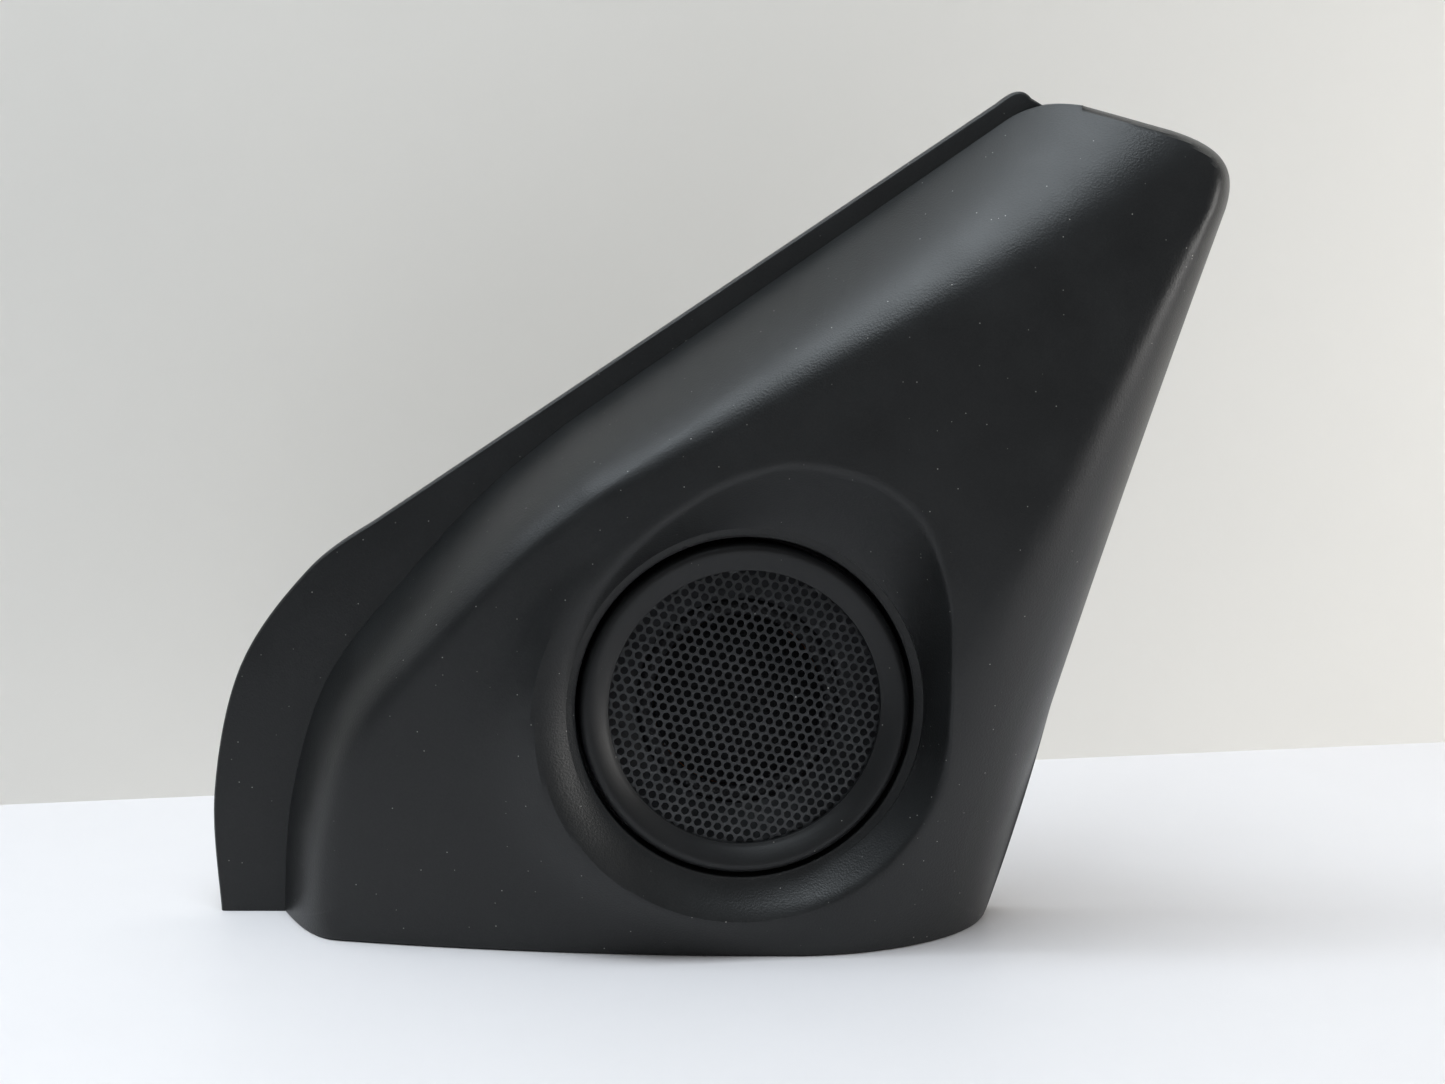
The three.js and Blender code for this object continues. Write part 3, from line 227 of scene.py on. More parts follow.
def surface_depth(p):
    """The whole front surface: face, shoulder, collar and bowl."""
    radius, degrees = tweeter_polar(p)
    lip = plane_depth(p, LIP_H)
    collar = plane_depth(p, CREST_H - np.maximum(radius - CREST_R, 0) * COLLAR_SLOPE)
    face = FLANGE + (-smooth_lower(-face_depth(p), -collar, COLLAR_BLEND) - FLANGE) * shoulder_share(p)
    out = np.maximum(radius - LIP_R, 0) / pod_edge(degrees)
    hollow = pod_edge(degrees, 2)
    climb = np.where(out < 1, np.minimum(out, 1) ** hollow, 1 + hollow * (out - 1))
    high = face - lip
    soft = np.minimum(pod_edge(degrees, 3), np.maximum(high, 0.1) * 0.9)
    return lip + smooth_lower(high, np.maximum(high, 0.5) * climb, soft)


def rounded_depth(p):
    """The surface with a small round where it meets the bottom rim."""
    near = np.clip(1 - p[:, 1] / 0.6, 0, 1)
    return surface_depth(p) - 0.5 * (1 - np.sqrt(1 - near ** 2))


def inner_depth(p):
    """The shell's inner surface, a wall's thickness behind the face."""
    step = 0.4
    dx = (surface_depth(p + [step, 0]) - surface_depth(p - [step, 0])) / (2 * step)
    dz = (surface_depth(p + [0, step]) - surface_depth(p - [0, step])) / (2 * step)
    return surface_depth(p) - WALL * np.minimum(np.sqrt(1 + dx ** 2 + dz ** 2), WALL_LIMIT)


def closed_loop(points, foot, steps):
    """A line of points closed by a straight run along the foot, with points close together at its ends."""
    loop = [tuple(q) for q in points if q[1] > foot + 0.3]
    for i in range(steps + 1):
        share = (1 - math.cos(math.pi * i / steps)) / 2
        loop.append((points[-1][0] + (points[0][0] - points[-1][0]) * share, foot))
    return np.array(loop)


# ---------------------------------------------------------------- mesh helpers


def make(name, verts, faces, matrix=None):
    """A mesh object from points in millimetres, with its faces turned outwards."""
    mesh = bpy.data.meshes.new(name)
    points = [tuple(float(c) for c in v) for v in verts]
    mesh.from_pydata(points, [], [tuple(int(i) for i in f) for f in faces])
    if matrix is not None:
        mesh.transform(matrix)
    mesh.transform(Matrix.Scale(0.001, 4))
    built = bmesh.new()
    built.from_mesh(mesh)
    bmesh.ops.remove_doubles(built, verts=built.verts, dist=2e-7)
    bmesh.ops.recalc_face_normals(built, faces=built.faces)
    if built.calc_volume(signed=True) < 0:
        bmesh.ops.reverse_faces(built, faces=built.faces)
    built.to_mesh(mesh)
    built.free()
    obj = bpy.data.objects.new(name, mesh)
    bpy.context.scene.collection.objects.link(obj)
    return obj


def lathe(name, profile, sides=96, matrix=TWEETER):
    """A turned piece from a closed list of (radius, height), about the local Z axis."""
    verts, faces = [], []
    starts = []
    for r, h in profile:
        starts.append(len(verts))
        if r < 1e-6:
            verts.append((0, 0, h))
        else:
            for k in range(sides):
                a = 2 * math.pi * k / sides
                verts.append((r * math.cos(a), r * math.sin(a), h))
    count = len(profile)
    for i, a in enumerate(starts):
        j = (i + 1) % count
        b = starts[j]
        ra, rb = profile[i][0] > 1e-6, profile[j][0] > 1e-6
        for k in range(sides):
            n = (k + 1) % sides
            if ra and rb:
                faces.append((a + k, a + n, b + n, b + k))
            elif ra:
                faces.append((a + k, a + n, b))
            elif rb:
                faces.append((a, b + n, b + k))
    return make(name, verts, faces, matrix)


def rounded(profile, radius=0.2, steps=3):
    """Rounds the corners of a closed (radius, height) outline, apart from those on the axis."""
    out = []
    count = len(profile)
    for i in range(count):
        p0, p, p1 = (np.array(profile[k % count], float) for k in (i - 1, i, i + 1))
        a, b = p0 - p, p1 - p
        la, lb = np.linalg.norm(a), np.linalg.norm(b)
        if p[0] < 1e-6 or la < 1e-6 or lb < 1e-6:
            out.append(tuple(p))
            continue
        cut = min(radius, la * 0.45, lb * 0.45)
        start, end = p + a / la * cut, p + b / lb * cut
        for k in range(steps + 1):
            t = k / steps
            out.append(tuple(start * (1 - t) ** 2 + 2 * p * t * (1 - t) + end * t ** 2))
    return out


def ring(name, inner, outer, low, high, radius=0.2):
    """A ring about the tweeter's axis, with rounded edges."""
    return lathe(name, rounded([(inner, low), (outer, low), (outer, high), (inner, high)], radius))


def disc(name, outer, low, high, radius=0.2, sides=96, matrix=TWEETER):
    """A disc or a pin about the local Z axis, with rounded edges."""
    return lathe(name, rounded([(0, low), (outer, low), (outer, high), (0, high)], radius), sides, matrix)


def box(name, low, high, matrix=None, bevel=0.0):
    """A box between two corners, with its edges rounded if asked for."""
    x, y, z = zip(low, high)
    verts = [(x[i], y[j], z[k]) for i in (0, 1) for j in (0, 1) for k in (0, 1)]
    faces = [(0, 1, 3, 2), (4, 6, 7, 5), (0, 4, 5, 1), (2, 3, 7, 6), (0, 2, 6, 4), (1, 5, 7, 3)]
    obj = make(name, verts, faces, matrix)
    if bevel:
        soften(obj, bevel)
    return obj


def along_y(x, z):
    """Turns the local Z axis to run into the door, at a place in X and Z."""
    return Matrix.Translation((x, 0, z)) @ Matrix.Rotation(-math.pi / 2, 4, "X")


def rod_y(name, x, z, radius, low, high, bevel):
    """A round rod along Y at a place in X and Z."""
    return disc(name, radius, low, high, bevel, 64, along_y(x, z))


def apply_modifiers(obj):
    bpy.context.view_layer.update()
    done = obj.evaluated_get(bpy.context.evaluated_depsgraph_get())
    mesh = bpy.data.meshes.new_from_object(done)
    obj.modifiers.clear()
    obj.data = mesh
    return obj


def combine(obj, others, operation):
    """Joins, cuts or intersects solids, and removes the tools."""
    for tool in others:
        step = obj.modifiers.new("step", "BOOLEAN")
        step.operation = operation
        step.solver = "MANIFOLD"
        step.object = tool
    apply_modifiers(obj)
    for tool in others:
        bpy.data.objects.remove(tool)
    return obj


def soften(obj, width, segments=3, angle=32):
    step = obj.modifiers.new("edges", "BEVEL")
    step.width = width * 0.001
    step.segments = segments
    step.limit_method = "ANGLE"
    step.angle_limit = math.radians(angle)
    return apply_modifiers(obj)


def smooth(obj, degrees=32):
    """Shades smooth, with sharp edges where faces meet at more than the angle."""
    built = bmesh.new()
    built.from_mesh(obj.data)
    limit = math.radians(degrees)
    for face in built.faces:
        face.smooth = True
    for edge in built.edges:
        edge.smooth = len(edge.link_faces) == 2 and edge.calc_face_angle(math.pi) < limit
    built.to_mesh(obj.data)
    built.free()
    return obj


def band(a, b, count):
    """Faces between two rings of points whose numbers start at a and b."""
    return [(a + k, a + (k + 1) % count, b + (k + 1) % count, b + k) for k in range(count)]


def turned(angle):
    """The tweeter's frame, turned about its axis."""
    return TWEETER @ Matrix.Rotation(math.radians(angle), 4, "Z")


def at_ear(angle):
    """The tweeter's frame, moved to a screw's place."""
    a = math.radians(angle)
    return TWEETER @ Matrix.Translation((EAR_CIRCLE * math.cos(a), EAR_CIRCLE * math.sin(a), 0))


# ---------------------------------------------------------------- the trim panel


def domed_body(name, loop, depth_at, back, fine):
    """A closed body over a loop of points, down to a flat back.

    Its spokes run from the pod's centre, and its rings are close together at the bowl's edges and the rim."""
    centre = np.array([POD[0], POD[2]])
    reach = np.linalg.norm(loop - centre, axis=1)
    unit = (loop - centre) / reach[:, None]
    angle = np.degrees(np.arctan2(unit[:, 1], unit[:, 0]))
    width = pod_edge(angle)
    lip = np.full(len(loop), LIP_R)
    edge = np.minimum(LIP_R + width, reach - 2)
    if fine:
        # The rings at both edges of the bowl are turned about the tweeter's tilted axis.
        for _ in range(4):
            lip *= LIP_R / tweeter_polar(centre + unit * lip[:, None])[0]
            radius, degrees = tweeter_polar(centre + unit * edge[:, None])
            edge *= (LIP_R + pod_edge(degrees)) / radius
        edge = np.minimum(edge, reach - 2)
        bowl = (1 - np.cos(np.pi * np.linspace(0, 1, 25)[1:])) / 2
        outer = np.array([0, .012, .04, .1, .2, .35, .55, .85, 1.25, 1.8, 2.5, 3.3, 4.3, 5.5, 7, 9])[::-1]
        beyond = np.array([.15, .4, .8, 1.4, 2.2])
        middle = np.linspace(0, 1, 14)[1:-1]
    else:
        bowl = np.array([0.55, 1.0])
        outer = np.array([0, 1, 2.5, 5, 9])[::-1]
        beyond = np.array([2.2])
        middle = np.array([0.33, 0.66])
    # Where there is little room between the bowl and the rim, both bands of rings are squeezed.
    room = reach - edge
    squeeze = np.minimum(1, room * 0.55 / outer[0])
    squeeze_beyond = np.minimum(1, room * 0.3 / beyond[-1])
    start = edge + beyond[-1] * squeeze_beyond
    stop = reach - outer[0] * squeeze
    knots = [lip * 0.5, lip - 0.9, lip - 0.32, lip] if fine else [lip]
    knots += [lip + (edge - lip) * s for s in bowl]
    knots += [edge + s * squeeze_beyond for s in beyond]
    knots += [start + (stop - start) * s for s in middle]
    knots += [reach - s * squeeze for s in outer]
    rings = len(knots)
    flat = [centre + unit * k[:, None] for k in knots]
    flat[-1] = loop
    count = len(loop)
    everything = np.concatenate([centre[None]] + flat)
    depth = depth_at(everything)
    verts = [(x, -d, z) for (x, z), d in zip(everything, depth)]
    faces = [(0, 1 + s, 1 + (s + 1) % count) for s in range(count)]
    for r in range(rings - 1):
        a, b = 1 + r * count, 1 + (r + 1) * count
        for s in range(count):
            n = (s + 1) % count
            faces.append((a + s, b + s, b + n, a + n))
    last, under = 1 + (rings - 1) * count, len(verts)
    verts += [(x, back, z) for x, z in loop] + [(centre[0], back, centre[1])]
    for s in range(count):
        n = (s + 1) % count
        faces.append((last + s, under + s, under + n, last + n))
        faces.append((under + count, under + n, under + s))
    return make(name, verts, faces)


def flange_solid():
    """The flat edge flange, with a rounded front edge."""
    edge = spline([(-81.6, 0), (-82.1, 19), (-77.4, 39), (-66.6, 54), (-55.7, 61.9)], 60)
    under_corner = FINE[0] + FINE[1] + 17
    tip = bezier([(36.8, 123.8), (38.6, 125.2), (40.4, 126.6), (42, 124.6)], 12)
    back = rim(FINE, 1.2)[:under_corner][::-1].copy()
    back[-1][1] = 0
    outer = np.concatenate([edge, tip])
    along = np.gradient(outer, axis=0)
    along /= np.linalg.norm(along, axis=1)[:, None]
    inward = np.c_[along[:, 1], -along[:, 0]]
    # Inset from the outline, and Y, from the door to the front.
    layers = [(0.2, 0.0), (0.05, -0.18), (0.05, -1.75), (0.13, -2.1), (0.36, -2.38), (0.7, -FLANGE)]
    verts, faces = [], []
    for inset, y in layers:
        moved = outer + inward * inset
        moved[:, 1] = np.maximum(moved[:, 1], 0)
        verts += [(x, y, z) for x, z in moved] + [(x, y, z) for x, z in back]
    count = len(outer) + len(back)
    for r in range(len(layers) - 1):
        a, b = r * count, (r + 1) * count
        faces += band(a, b, count)
    top, bottom = (len(layers) - 1) * count, 0
    strip = tessellate_polygon([[Vector((x, z, 0)) for x, _, z in verts[top:top + count]]])
    faces += [tuple(top + k for k in t) for t in strip] + [tuple(bottom + k for k in t[::-1]) for t in strip]
    return make("flange", verts, faces)


def tower(x, z):
    """A clip's tower: a hollow box with a slot and a seat that the clip's head slides into."""
    room, neck, wall = 5.95, 3.35, 1.8
    half_d, half_w = room + wall, room + wall + 1
    body = box("tower", (x - half_w, -27.5, z - half_d), (x + half_w, -2, z + half_d), bevel=0.4)
    cuts = [
        box("pocket", (x - half_w - 1, -6.9, z - room), (x + half_w - wall, -3.8, z + room)),
        box("core", (x - half_w + wall, -28.5, z - room), (x + half_w - wall, -3.8, z + room)),
        box("slot", (x - half_w - 1, -4.8, z - neck), (x, -1, z + neck)),
        rod_y("seat", x, z, neck, -4.8, -1, 0.01),
    ]
    return combine(body, cuts, "DIFFERENCE")


def trim_panel():
    """The moulded shell with its sleeve, screw bosses, ribs, clip towers, locating pin and edge flange."""
    panel = domed_body("sail_panel", closed_loop(rim(FINE, 0.04), 0, 90), rounded_depth, 0, True)
    inner = domed_body("inner", closed_loop(rim(COARSE, WALL), -4, 14), inner_depth, 4, False)
    combine(panel, [inner], "DIFFERENCE")
    pieces = [ring("sleeve", SLEEVE_IN - 0.4, SLEEVE_OUT, SLEEVE_END, LIP_H - 1.2, 0.15)]
    pieces += [disc("boss", 3.3, SLEEVE_END, -1.6, 0.2, 48, at_ear(angle)) for angle in EARS]
    for angle, length in ((150, 70), (25, 48)):
        pieces.append(box("rib", (SLEEVE_IN + 0.5, -0.8, SLEEVE_END), (length, 0.8, 27.5), turned(angle)))
    pieces += [tower(x, z) for _, x, z in CLIPS]
    pieces.append(rod_y("pin", -25, 66, 2.5, -27.5, 6, 0.6))
    inside = combine(pieces[0], pieces[1:], "UNION")
    # Everything inside ends within the wall.
    under = closed_loop(rim(COARSE, 0.6), 0, 14)
    under = domed_body("under", under, lambda p: surface_depth(p) - 0.7, 20, False)
    combine(inside, [under], "INTERSECT")
    combine(panel, [inside, flange_solid()], "UNION")
    # The bore, with a small round where it meets the bowl.
    profile = [(0, -60), (SLEEVE_IN, -60), (SLEEVE_IN, -1.3), (25.03, -1.15), (25.1, -1.06), (25.24, -0.99)]
    profile += [(26.4, -0.6), (26.4, 30), (0, 30)]
    tools = [lathe("bore", profile, 256)]
    tools += [disc("pilot", 1.5, SLEEVE_END - 1, -3.2, 0.1, 32, at_ear(angle)) for angle in EARS]
    combine(panel, tools, "DIFFERENCE")
    return smooth(panel, 24)


# ---------------------------------------------------------------- the tweeter


def bezel():
    """The bezel ring with its mounting flange and three screw ears."""
    rounding, crown_r, slope_r = 1.2, BEZEL_R - 1.2, GRILLE_R + 0.32
    profile = [(GRILLE_R, LIP_LOW), (BORE_R, LIP_LOW), (BORE_R, FLANGE_LOW), (FLANGE_R, FLANGE_LOW)]
    profile += [(FLANGE_R, FLANGE_TOP), (BEZEL_R, FLANGE_TOP)]
    for k in range(13):
        a = k / 12 * math.pi / 2
        profile.append((crown_r + rounding * math.cos(a), rounding * (math.sin(a) - 1)))
    # A shallow funnel from the crown down to the lip.
    for k in range(1, 9):
        t = k / 8
        profile.append((crown_r + (slope_r - crown_r) * t, -1.24 * t ** 1.35))
    profile += [(GRILLE_R + r, LIP_TOP + h) for r, h in ((0.2, 0.02), (0.07, -0.05), (0, -0.2))]
    body = lathe("bezel", profile, 192)
    pads, holes = [], []
    for angle in EARS:
        pads.append(disc("pad", 3.8, FLANGE_LOW, FLANGE_TOP, 0.15, 48, at_ear(angle)))
        low, high = (BORE_R + 1, -3.8, FLANGE_LOW), (EAR_CIRCLE, 3.8, FLANGE_TOP)
        pads.append(box("bridge", low, high, turned(angle)))
        holes.append(disc("hole", 1.5, FLANGE_LOW - 1, FLANGE_TOP + 1, 0.1, 32, at_ear(angle)))
    combine(body, pads, "UNION")
    combine(body, holes, "DIFFERENCE")
    return smooth(body, 30)


def grille():
    """The perforated sheet: round holes on a hexagonal lattice, dished, with a turned-down skirt."""
    turn = math.radians(ROWS_TURNED)
    cos, sin = math.cos(turn), math.sin(turn)
    centres = []
    reach = 16      # rows each way
    for j in range(-reach, reach + 1):
        for i in range(-reach, reach + 1):
            x = (i + 0.5 * (j % 2)) * HOLE_PITCH + 0.2
            y = j * HOLE_PITCH * math.sqrt(3) / 2 + 0.1
            if math.hypot(x, y) < GRILLE_R + 0.45:
                centres.append((x * cos - y * sin, x * sin + y * cos))
    hole_sides, rim_sides = 12, 120
    points, edges = [], []

    def circle(cx, cy, r, sides, start=0.0):
        first = len(points)
        for k in range(sides):
            a = 2 * math.pi * k / sides + start
            points.append((cx + r * math.cos(a), cy + r * math.sin(a)))
            edges.append((first + k, first + (k + 1) % sides))

    for cx, cy in centres:
        circle(cx, cy, HOLE_R + 0.05, hole_sides)
    outer = BORE_R - 0.3
    circle(0, 0, outer - 0.35, rim_sides)
    found, _, triangles, origin, _, _ = delaunay_2d_cdt([Vector(p) for p in points], edges, [], 1, 1e-6)
    flat = np.array([tuple(v) for v in found])
    middle = flat[np.array(triangles)].mean(1)
    spots = np.array(centres)
    keep = []
    for t, m in zip(triangles, middle):
        if ((spots - m) ** 2).sum(1).min() > (HOLE_R * 0.93) ** 2 and np.hypot(*m) < outer - 0.3:
            keep.append(tuple(t))
    placed = {given: k for k, sources in enumerate(origin) for given in sources}

    def lift(x, y):
        return GRILLE_TOP + 0.8 * (1 - min(math.hypot(x, y) / GRILLE_R, 1) ** 2)

    verts = [(x, y, lift(x, y)) for x, y in flat]
    faces = list(keep)
    base = len(verts)
    verts += [(x, y, lift(x, y) - SHEET) for x, y in flat]
    faces += [tuple(base + k for k in t[::-1]) for t in keep]

    def wall(first, cx, cy, levels, sides, skirt=False):
        """Closes the front to the back round a circle, by way of levels of (radius, drop)."""
        top = [placed[first + k] for k in range(sides)]
        previous = top
        for r, drop in levels:
            start = len(verts)
            for k in range(sides):
                a = 2 * math.pi * k / sides
                x, y = cx + r * math.cos(a), cy + r * math.sin(a)
                verts.append((x, y, (GRILLE_TOP if skirt else lift(x, y)) - drop))
            level = list(range(start, start + sides))
            faces.extend((previous[k], previous[(k + 1) % sides], level[(k + 1) % sides], level[k])
                         for k in range(sides))
            previous = level
        below = [base + k for k in top]
        faces.extend((previous[k], previous[(k + 1) % sides], below[(k + 1) % sides], below[k])
                     for k in range(sides))

    hole_levels = [(HOLE_R + 0.012, 0.03), (HOLE_R, 0.09), (HOLE_R, SHEET - 0.06)]
    for number, (cx, cy) in enumerate(centres):
        wall(number * hole_sides, cx, cy, hole_levels, hole_sides)
    drop = GRILLE_TOP - SKIRT_END
    skirt_levels = [(outer - 0.1, 0.1), (outer, 0.35), (outer, drop), (outer - 0.5, drop), (outer - 0.5, 0.6)]
    wall(len(centres) * hole_sides, 0, 0, skirt_levels, rim_sides, True)
    return smooth(make("perforated_grille", verts, faces, TWEETER), 40)


def horn():
    """The horn plate: a shallow flare from the surround out to the grille's skirt."""
    profile = [(20.5, HORN_TOP), (21.6, HORN_TOP), (21.6, HORN_LOW), (15.4, HORN_LOW), (15.4, -8.25)]
    for k in range(1, 12):
        t = k / 12
        profile.append((15.4 + 5.1 * t, -8.1 + 3.5 * t ** 1.25))
    return smooth(lathe("horn_ring", profile, 160), 30)


def dome():
    """The thin domed diaphragm."""
    outer = [(DOME_R * k / 16, -8.8 + 3.4 * (1 - (k / 16) ** 2)) for k in range(17)]
    inner = [(r, h - 0.35) for r, h in reversed(outer)]
    return smooth(lathe("soft_dome", outer + inner, 96), 50)


def surround():
    """The half-roll round the dome, clear of the dome's own travel, and its flat clamped rim."""
    start, end = DOME_R + 0.15, 15.2
    mid, half = (start + end) / 2, (end - start) / 2
    over = [(mid - half * math.cos(math.pi * k / 12), -9.1 + math.sin(math.pi * k / 12)) for k in range(13)]
    under = [(mid + (half - 0.35) * math.cos(math.pi * k / 12), -9.45 + 0.77 * math.sin(math.pi * k / 12))
             for k in range(13)]
    return smooth(lathe("surround_roll", over + [(18.4, -9.1), (18.4, -9.45)] + under, 96), 50)


def screw(name, angle):
    """A pan-head self-tapping screw with a cross recess, its head to the rear."""
    top = FLANGE_LOW - 0.3
    profile = [(0, -3.5), (0.5, -4.0), (0.9, -4.6)]
    height = -5.0
    while height > top + 0.9:
        profile += [(0.95, height), (1.2, height - 0.22), (1.2, height - 0.3), (0.95, height - 0.5)]
        height -= 0.8
    profile += [(1.2, top + 0.1), (1.25, top), (2.5, top), (2.6, top - 0.1), (2.6, top - 0.6)]
    for k in range(1, 8):
        a = k / 8 * math.pi / 2
        profile.append((2.6 * math.cos(a), top - 0.6 - 1.0 * math.sin(a)))
    profile.append((0, top - 1.6))
    body = lathe(name, profile, 48, at_ear(angle))
    cross = ((1.35, 0.3), (0.3, 1.35))
    cuts = [box("cross", (-a, -b, top - 2.6), (a, b, top - 0.65), at_ear(angle)) for a, b in cross]
    combine(body, cuts, "DIFFERENCE")
    return smooth(body, 28)


def capacitor_place():
    """Turns the local Z axis to run across the tweeter, along the capacitor."""
    at = Matrix.Translation((0, CAPACITOR_Y, CAPACITOR_H))
    return TWEETER @ at @ Matrix.Rotation(math.pi / 2, 4, "Y")


def housing():
    """The rear cup, its connector shroud, the capacitor's saddle and the wire slots."""
    floor, ledge, yoke_r = -19.4, -14.0, 15.45
    profile = [(0, floor), (HOUSING_IN, floor), (HOUSING_IN, ledge), (yoke_r, ledge), (yoke_r, -12.8)]
    profile += [(18.7, -12.8), (18.7, -9.1), (21.6, -9.1), (21.6, -11.5), (25.4, -11.5), (25.4, -13.0)]
    profile += [(HOUSING_OUT, -13.0), (HOUSING_OUT, HOUSING_LOW), (0, HOUSING_LOW)]
    body = lathe("housing", rounded(profile, 0.35), 128)
    reach, half = HOUSING_OUT + 15.7, 8.2
    shroud = box("shroud", (-reach, -half, SOCKET_LOW), (-HOUSING_IN - 0.4, half, SOCKET_HIGH), TWEETER, 0.8)
    saddle = box("saddle", (-7.5, CAPACITOR_Y, HOUSING_LOW), (7.5, -HOUSING_IN - 0.4, -12.3), TWEETER, 0.5)
    for piece in (shroud, saddle):
        combine(piece, [disc("clear", HOUSING_IN, floor, -8.1, 0.01)], "DIFFERENCE")
    combine(body, [shroud, saddle], "UNION")
    wall = 1.4
    low = (-reach - 1, wall - half, SOCKET_LOW + wall)
    cuts = [box("cavity", low, (-HOUSING_OUT - 1.6, half - wall, SOCKET_HIGH - wall), TWEETER, 0.5)]
    cuts.append(lathe("trough", [(0, -20), (4.3, -20), (4.3, 20), (0, 20)], 64, capacitor_place()))
    for angle in (BLADES["negative"], BLADES["positive"]):
        y = WIRE_R * math.sin(math.radians(angle))
        low = (-reach, y - 1.4, SOCKET_MIDDLE - 0.7)
        cuts.append(box("blade_slot", low, (-HOUSING_IN + 2, y + 1.4, SOCKET_MIDDLE + 0.7), TWEETER))
    for angle in (252, 290):
        at = turned(angle) @ Matrix.Translation((HOUSING_IN + 0.8, 0, -15.3))
        turn = at @ Matrix.Rotation(math.pi / 2, 4, "Y")
        cuts.append(lathe("lead_hole", [(0, -3), (0.85, -3), (0.85, 3), (0, 3)], 32, turn))
    cuts += [disc("screw_room", 3.4, -19.5, -10.5, 0.05, 48, at_ear(angle)) for angle in EARS]
    combine(body, cuts, "DIFFERENCE")
    return smooth(body, 28)


def door_clip(name, x, z):
    """A push-in clip: head, collar, four barbs that grow smaller, and a split through them."""
    profile = [(0, -5.4), (5.35, -5.4), (5.6, -5.2), (5.6, -4.3), (5.4, -4.1), (3, -4.1), (3, -1.7)]
    profile += [(6.4, -1.7), (6.6, -1.5), (6.6, -0.95), (6.3, -0.7), (3, -0.7)]
    for i in range(4):
        y, r = 1.2 + i * 2.2, 4.6 - 0.42 * i
        profile += [(2.6, y), (r, y + 0.35), (r + 0.02, y + 0.7), (3.4 - 0.2 * i, y + 1.5)]
    profile += [(2.2, 10.4), (1.7, 11), (0, 11)]
    body = lathe(name, profile, 64, along_y(x, z))
    cuts = [box("split", (x - 6, 0.6, z - 0.45), (x + 6, 9.2, z + 0.45), None, 0.1)]
    combine(body, cuts, "DIFFERENCE")
    return smooth(body, 28)


def foam_disc(name, x, z):
    """The soft washer under a clip's collar."""
    profile = rounded([(3.3, -0.4), (7.4, -0.4), (7.4, 0.5), (3.3, 0.5)], 0.3, 5)
    return smooth(lathe(name, profile, 96, along_y(x, z)), 60)


def foam_strip():
    """The strip behind the flange: a soft rounded section along the edge."""
    path = spline([(-79, 3), (-79.3, 19), (-74.8, 37.6), (-64.8, 51.4), (-54.5, 59)], 120)
    along = np.gradient(path, axis=0)
    along /= np.linalg.norm(along, axis=1)[:, None]
    inward = np.c_[along[:, 1], -along[:, 0]]
    section = rounded([(0.05, 0.15), (4.95, 0.15), (4.95, 1.2), (0.05, 1.2)], 0.4, 5)
    verts, faces = [], []
    for (x, z), (ix, iz) in zip(path, inward):
        verts += [(x + ix * s, y, z + iz * s) for s, y in section]
    n = len(section)
    for i in range(len(path) - 1):
        faces += band(i * n, (i + 1) * n, n)
    faces += [tuple(range(n))[::-1], tuple((len(path) - 1) * n + k for k in range(n))]
    return smooth(make("edge_foam", verts, faces), 50)


def capacitor():
    """The film capacitor in its shrink sleeve, with crimped shoulders and dished ends."""
    profile = [(0, -5.25), (2.9, -5.25), (3.05, -5.42), (3.45, -5.5), (3.85, -5.3), (4.0, -4.9)]
    profile += [(4.0, -4.0), (3.86, -3.75), (3.86, -3.5), (4.0, -3.25), (4.0, 4.9), (3.85, 5.3), (3.45, 5.5)]
    profile += [(3.05, 5.42), (2.9, 5.25), (0, 5.25)]
    return smooth(lathe("capacitor_body", profile, 80, capacitor_place()), 30)


def blade(name, angle):
    """A flat contact blade in the socket, tapered at its tip."""
    y = WIRE_R * math.sin(math.radians(angle))
    low, high = -29.0, -WIRE_R - 0.1
    corners = ((-1.1, -0.4), (1.1, -0.4), (1.1, 0.4), (-1.1, 0.4))
    section = [(y + a, SOCKET_MIDDLE + b) for a, b in corners]
    tip = [(y + a * 0.72, SOCKET_MIDDLE + b * 0.3) for a, b in corners]
    verts = [(low, *p) for p in tip] + [(low + 1.2, *p) for p in section] + [(high, *p) for p in section]
    faces = [(3, 2, 1, 0), (8, 9, 10, 11)]
    for r in (0, 4):
        faces += band(r, r + 4, 4)
    obj = make(name, verts, faces, TWEETER)
    soften(obj, 0.08, 2, 20)
    return smooth(obj, 30)


# ---------------------------------------------------------------- materials


def socket(node, name, value):
    node.inputs[name].default_value = value


def scaled(color, share):
    return tuple(c * share for c in color)


def base_material(name, metal=0.0):
    """A new material, with its node tree, its shader and the object's own place as coordinates."""
    mat = bpy.data.materials.new(name)
    mat.use_nodes = True
    tree = mat.node_tree
    shader = tree.nodes["Principled BSDF"]
    socket(shader, "Metallic", metal)
    place = tree.nodes.new("ShaderNodeTexCoord")
    return mat, tree, shader, place.outputs["Object"]


def noise(tree, place, size_mm, detail=3.0, rough=0.55, kind="NOISE"):
    """A texture with features of about the size given."""
    if kind == "NOISE":
        node = tree.nodes.new("ShaderNodeTexNoise")
        socket(node, "Detail", detail)
        socket(node, "Roughness", rough)
        out = node.outputs["Fac"]
    else:
        node = tree.nodes.new("ShaderNodeTexVoronoi")
        out = node.outputs["Distance"]
    socket(node, "Scale", 1000.0 / size_mm)
    tree.links.new(place, node.inputs["Vector"])
    return out


def ranged(tree, value, low, high, from_low=0.3, from_high=0.7):
    """Maps a value to a new range, held at both ends."""
    node = tree.nodes.new("ShaderNodeMapRange")
    for name, number in (("From Min", from_low), ("From Max", from_high), ("To Min", low), ("To Max", high)):
        socket(node, name, number)
    tree.links.new(value, node.inputs["Value"])
    return node.outputs["Result"]


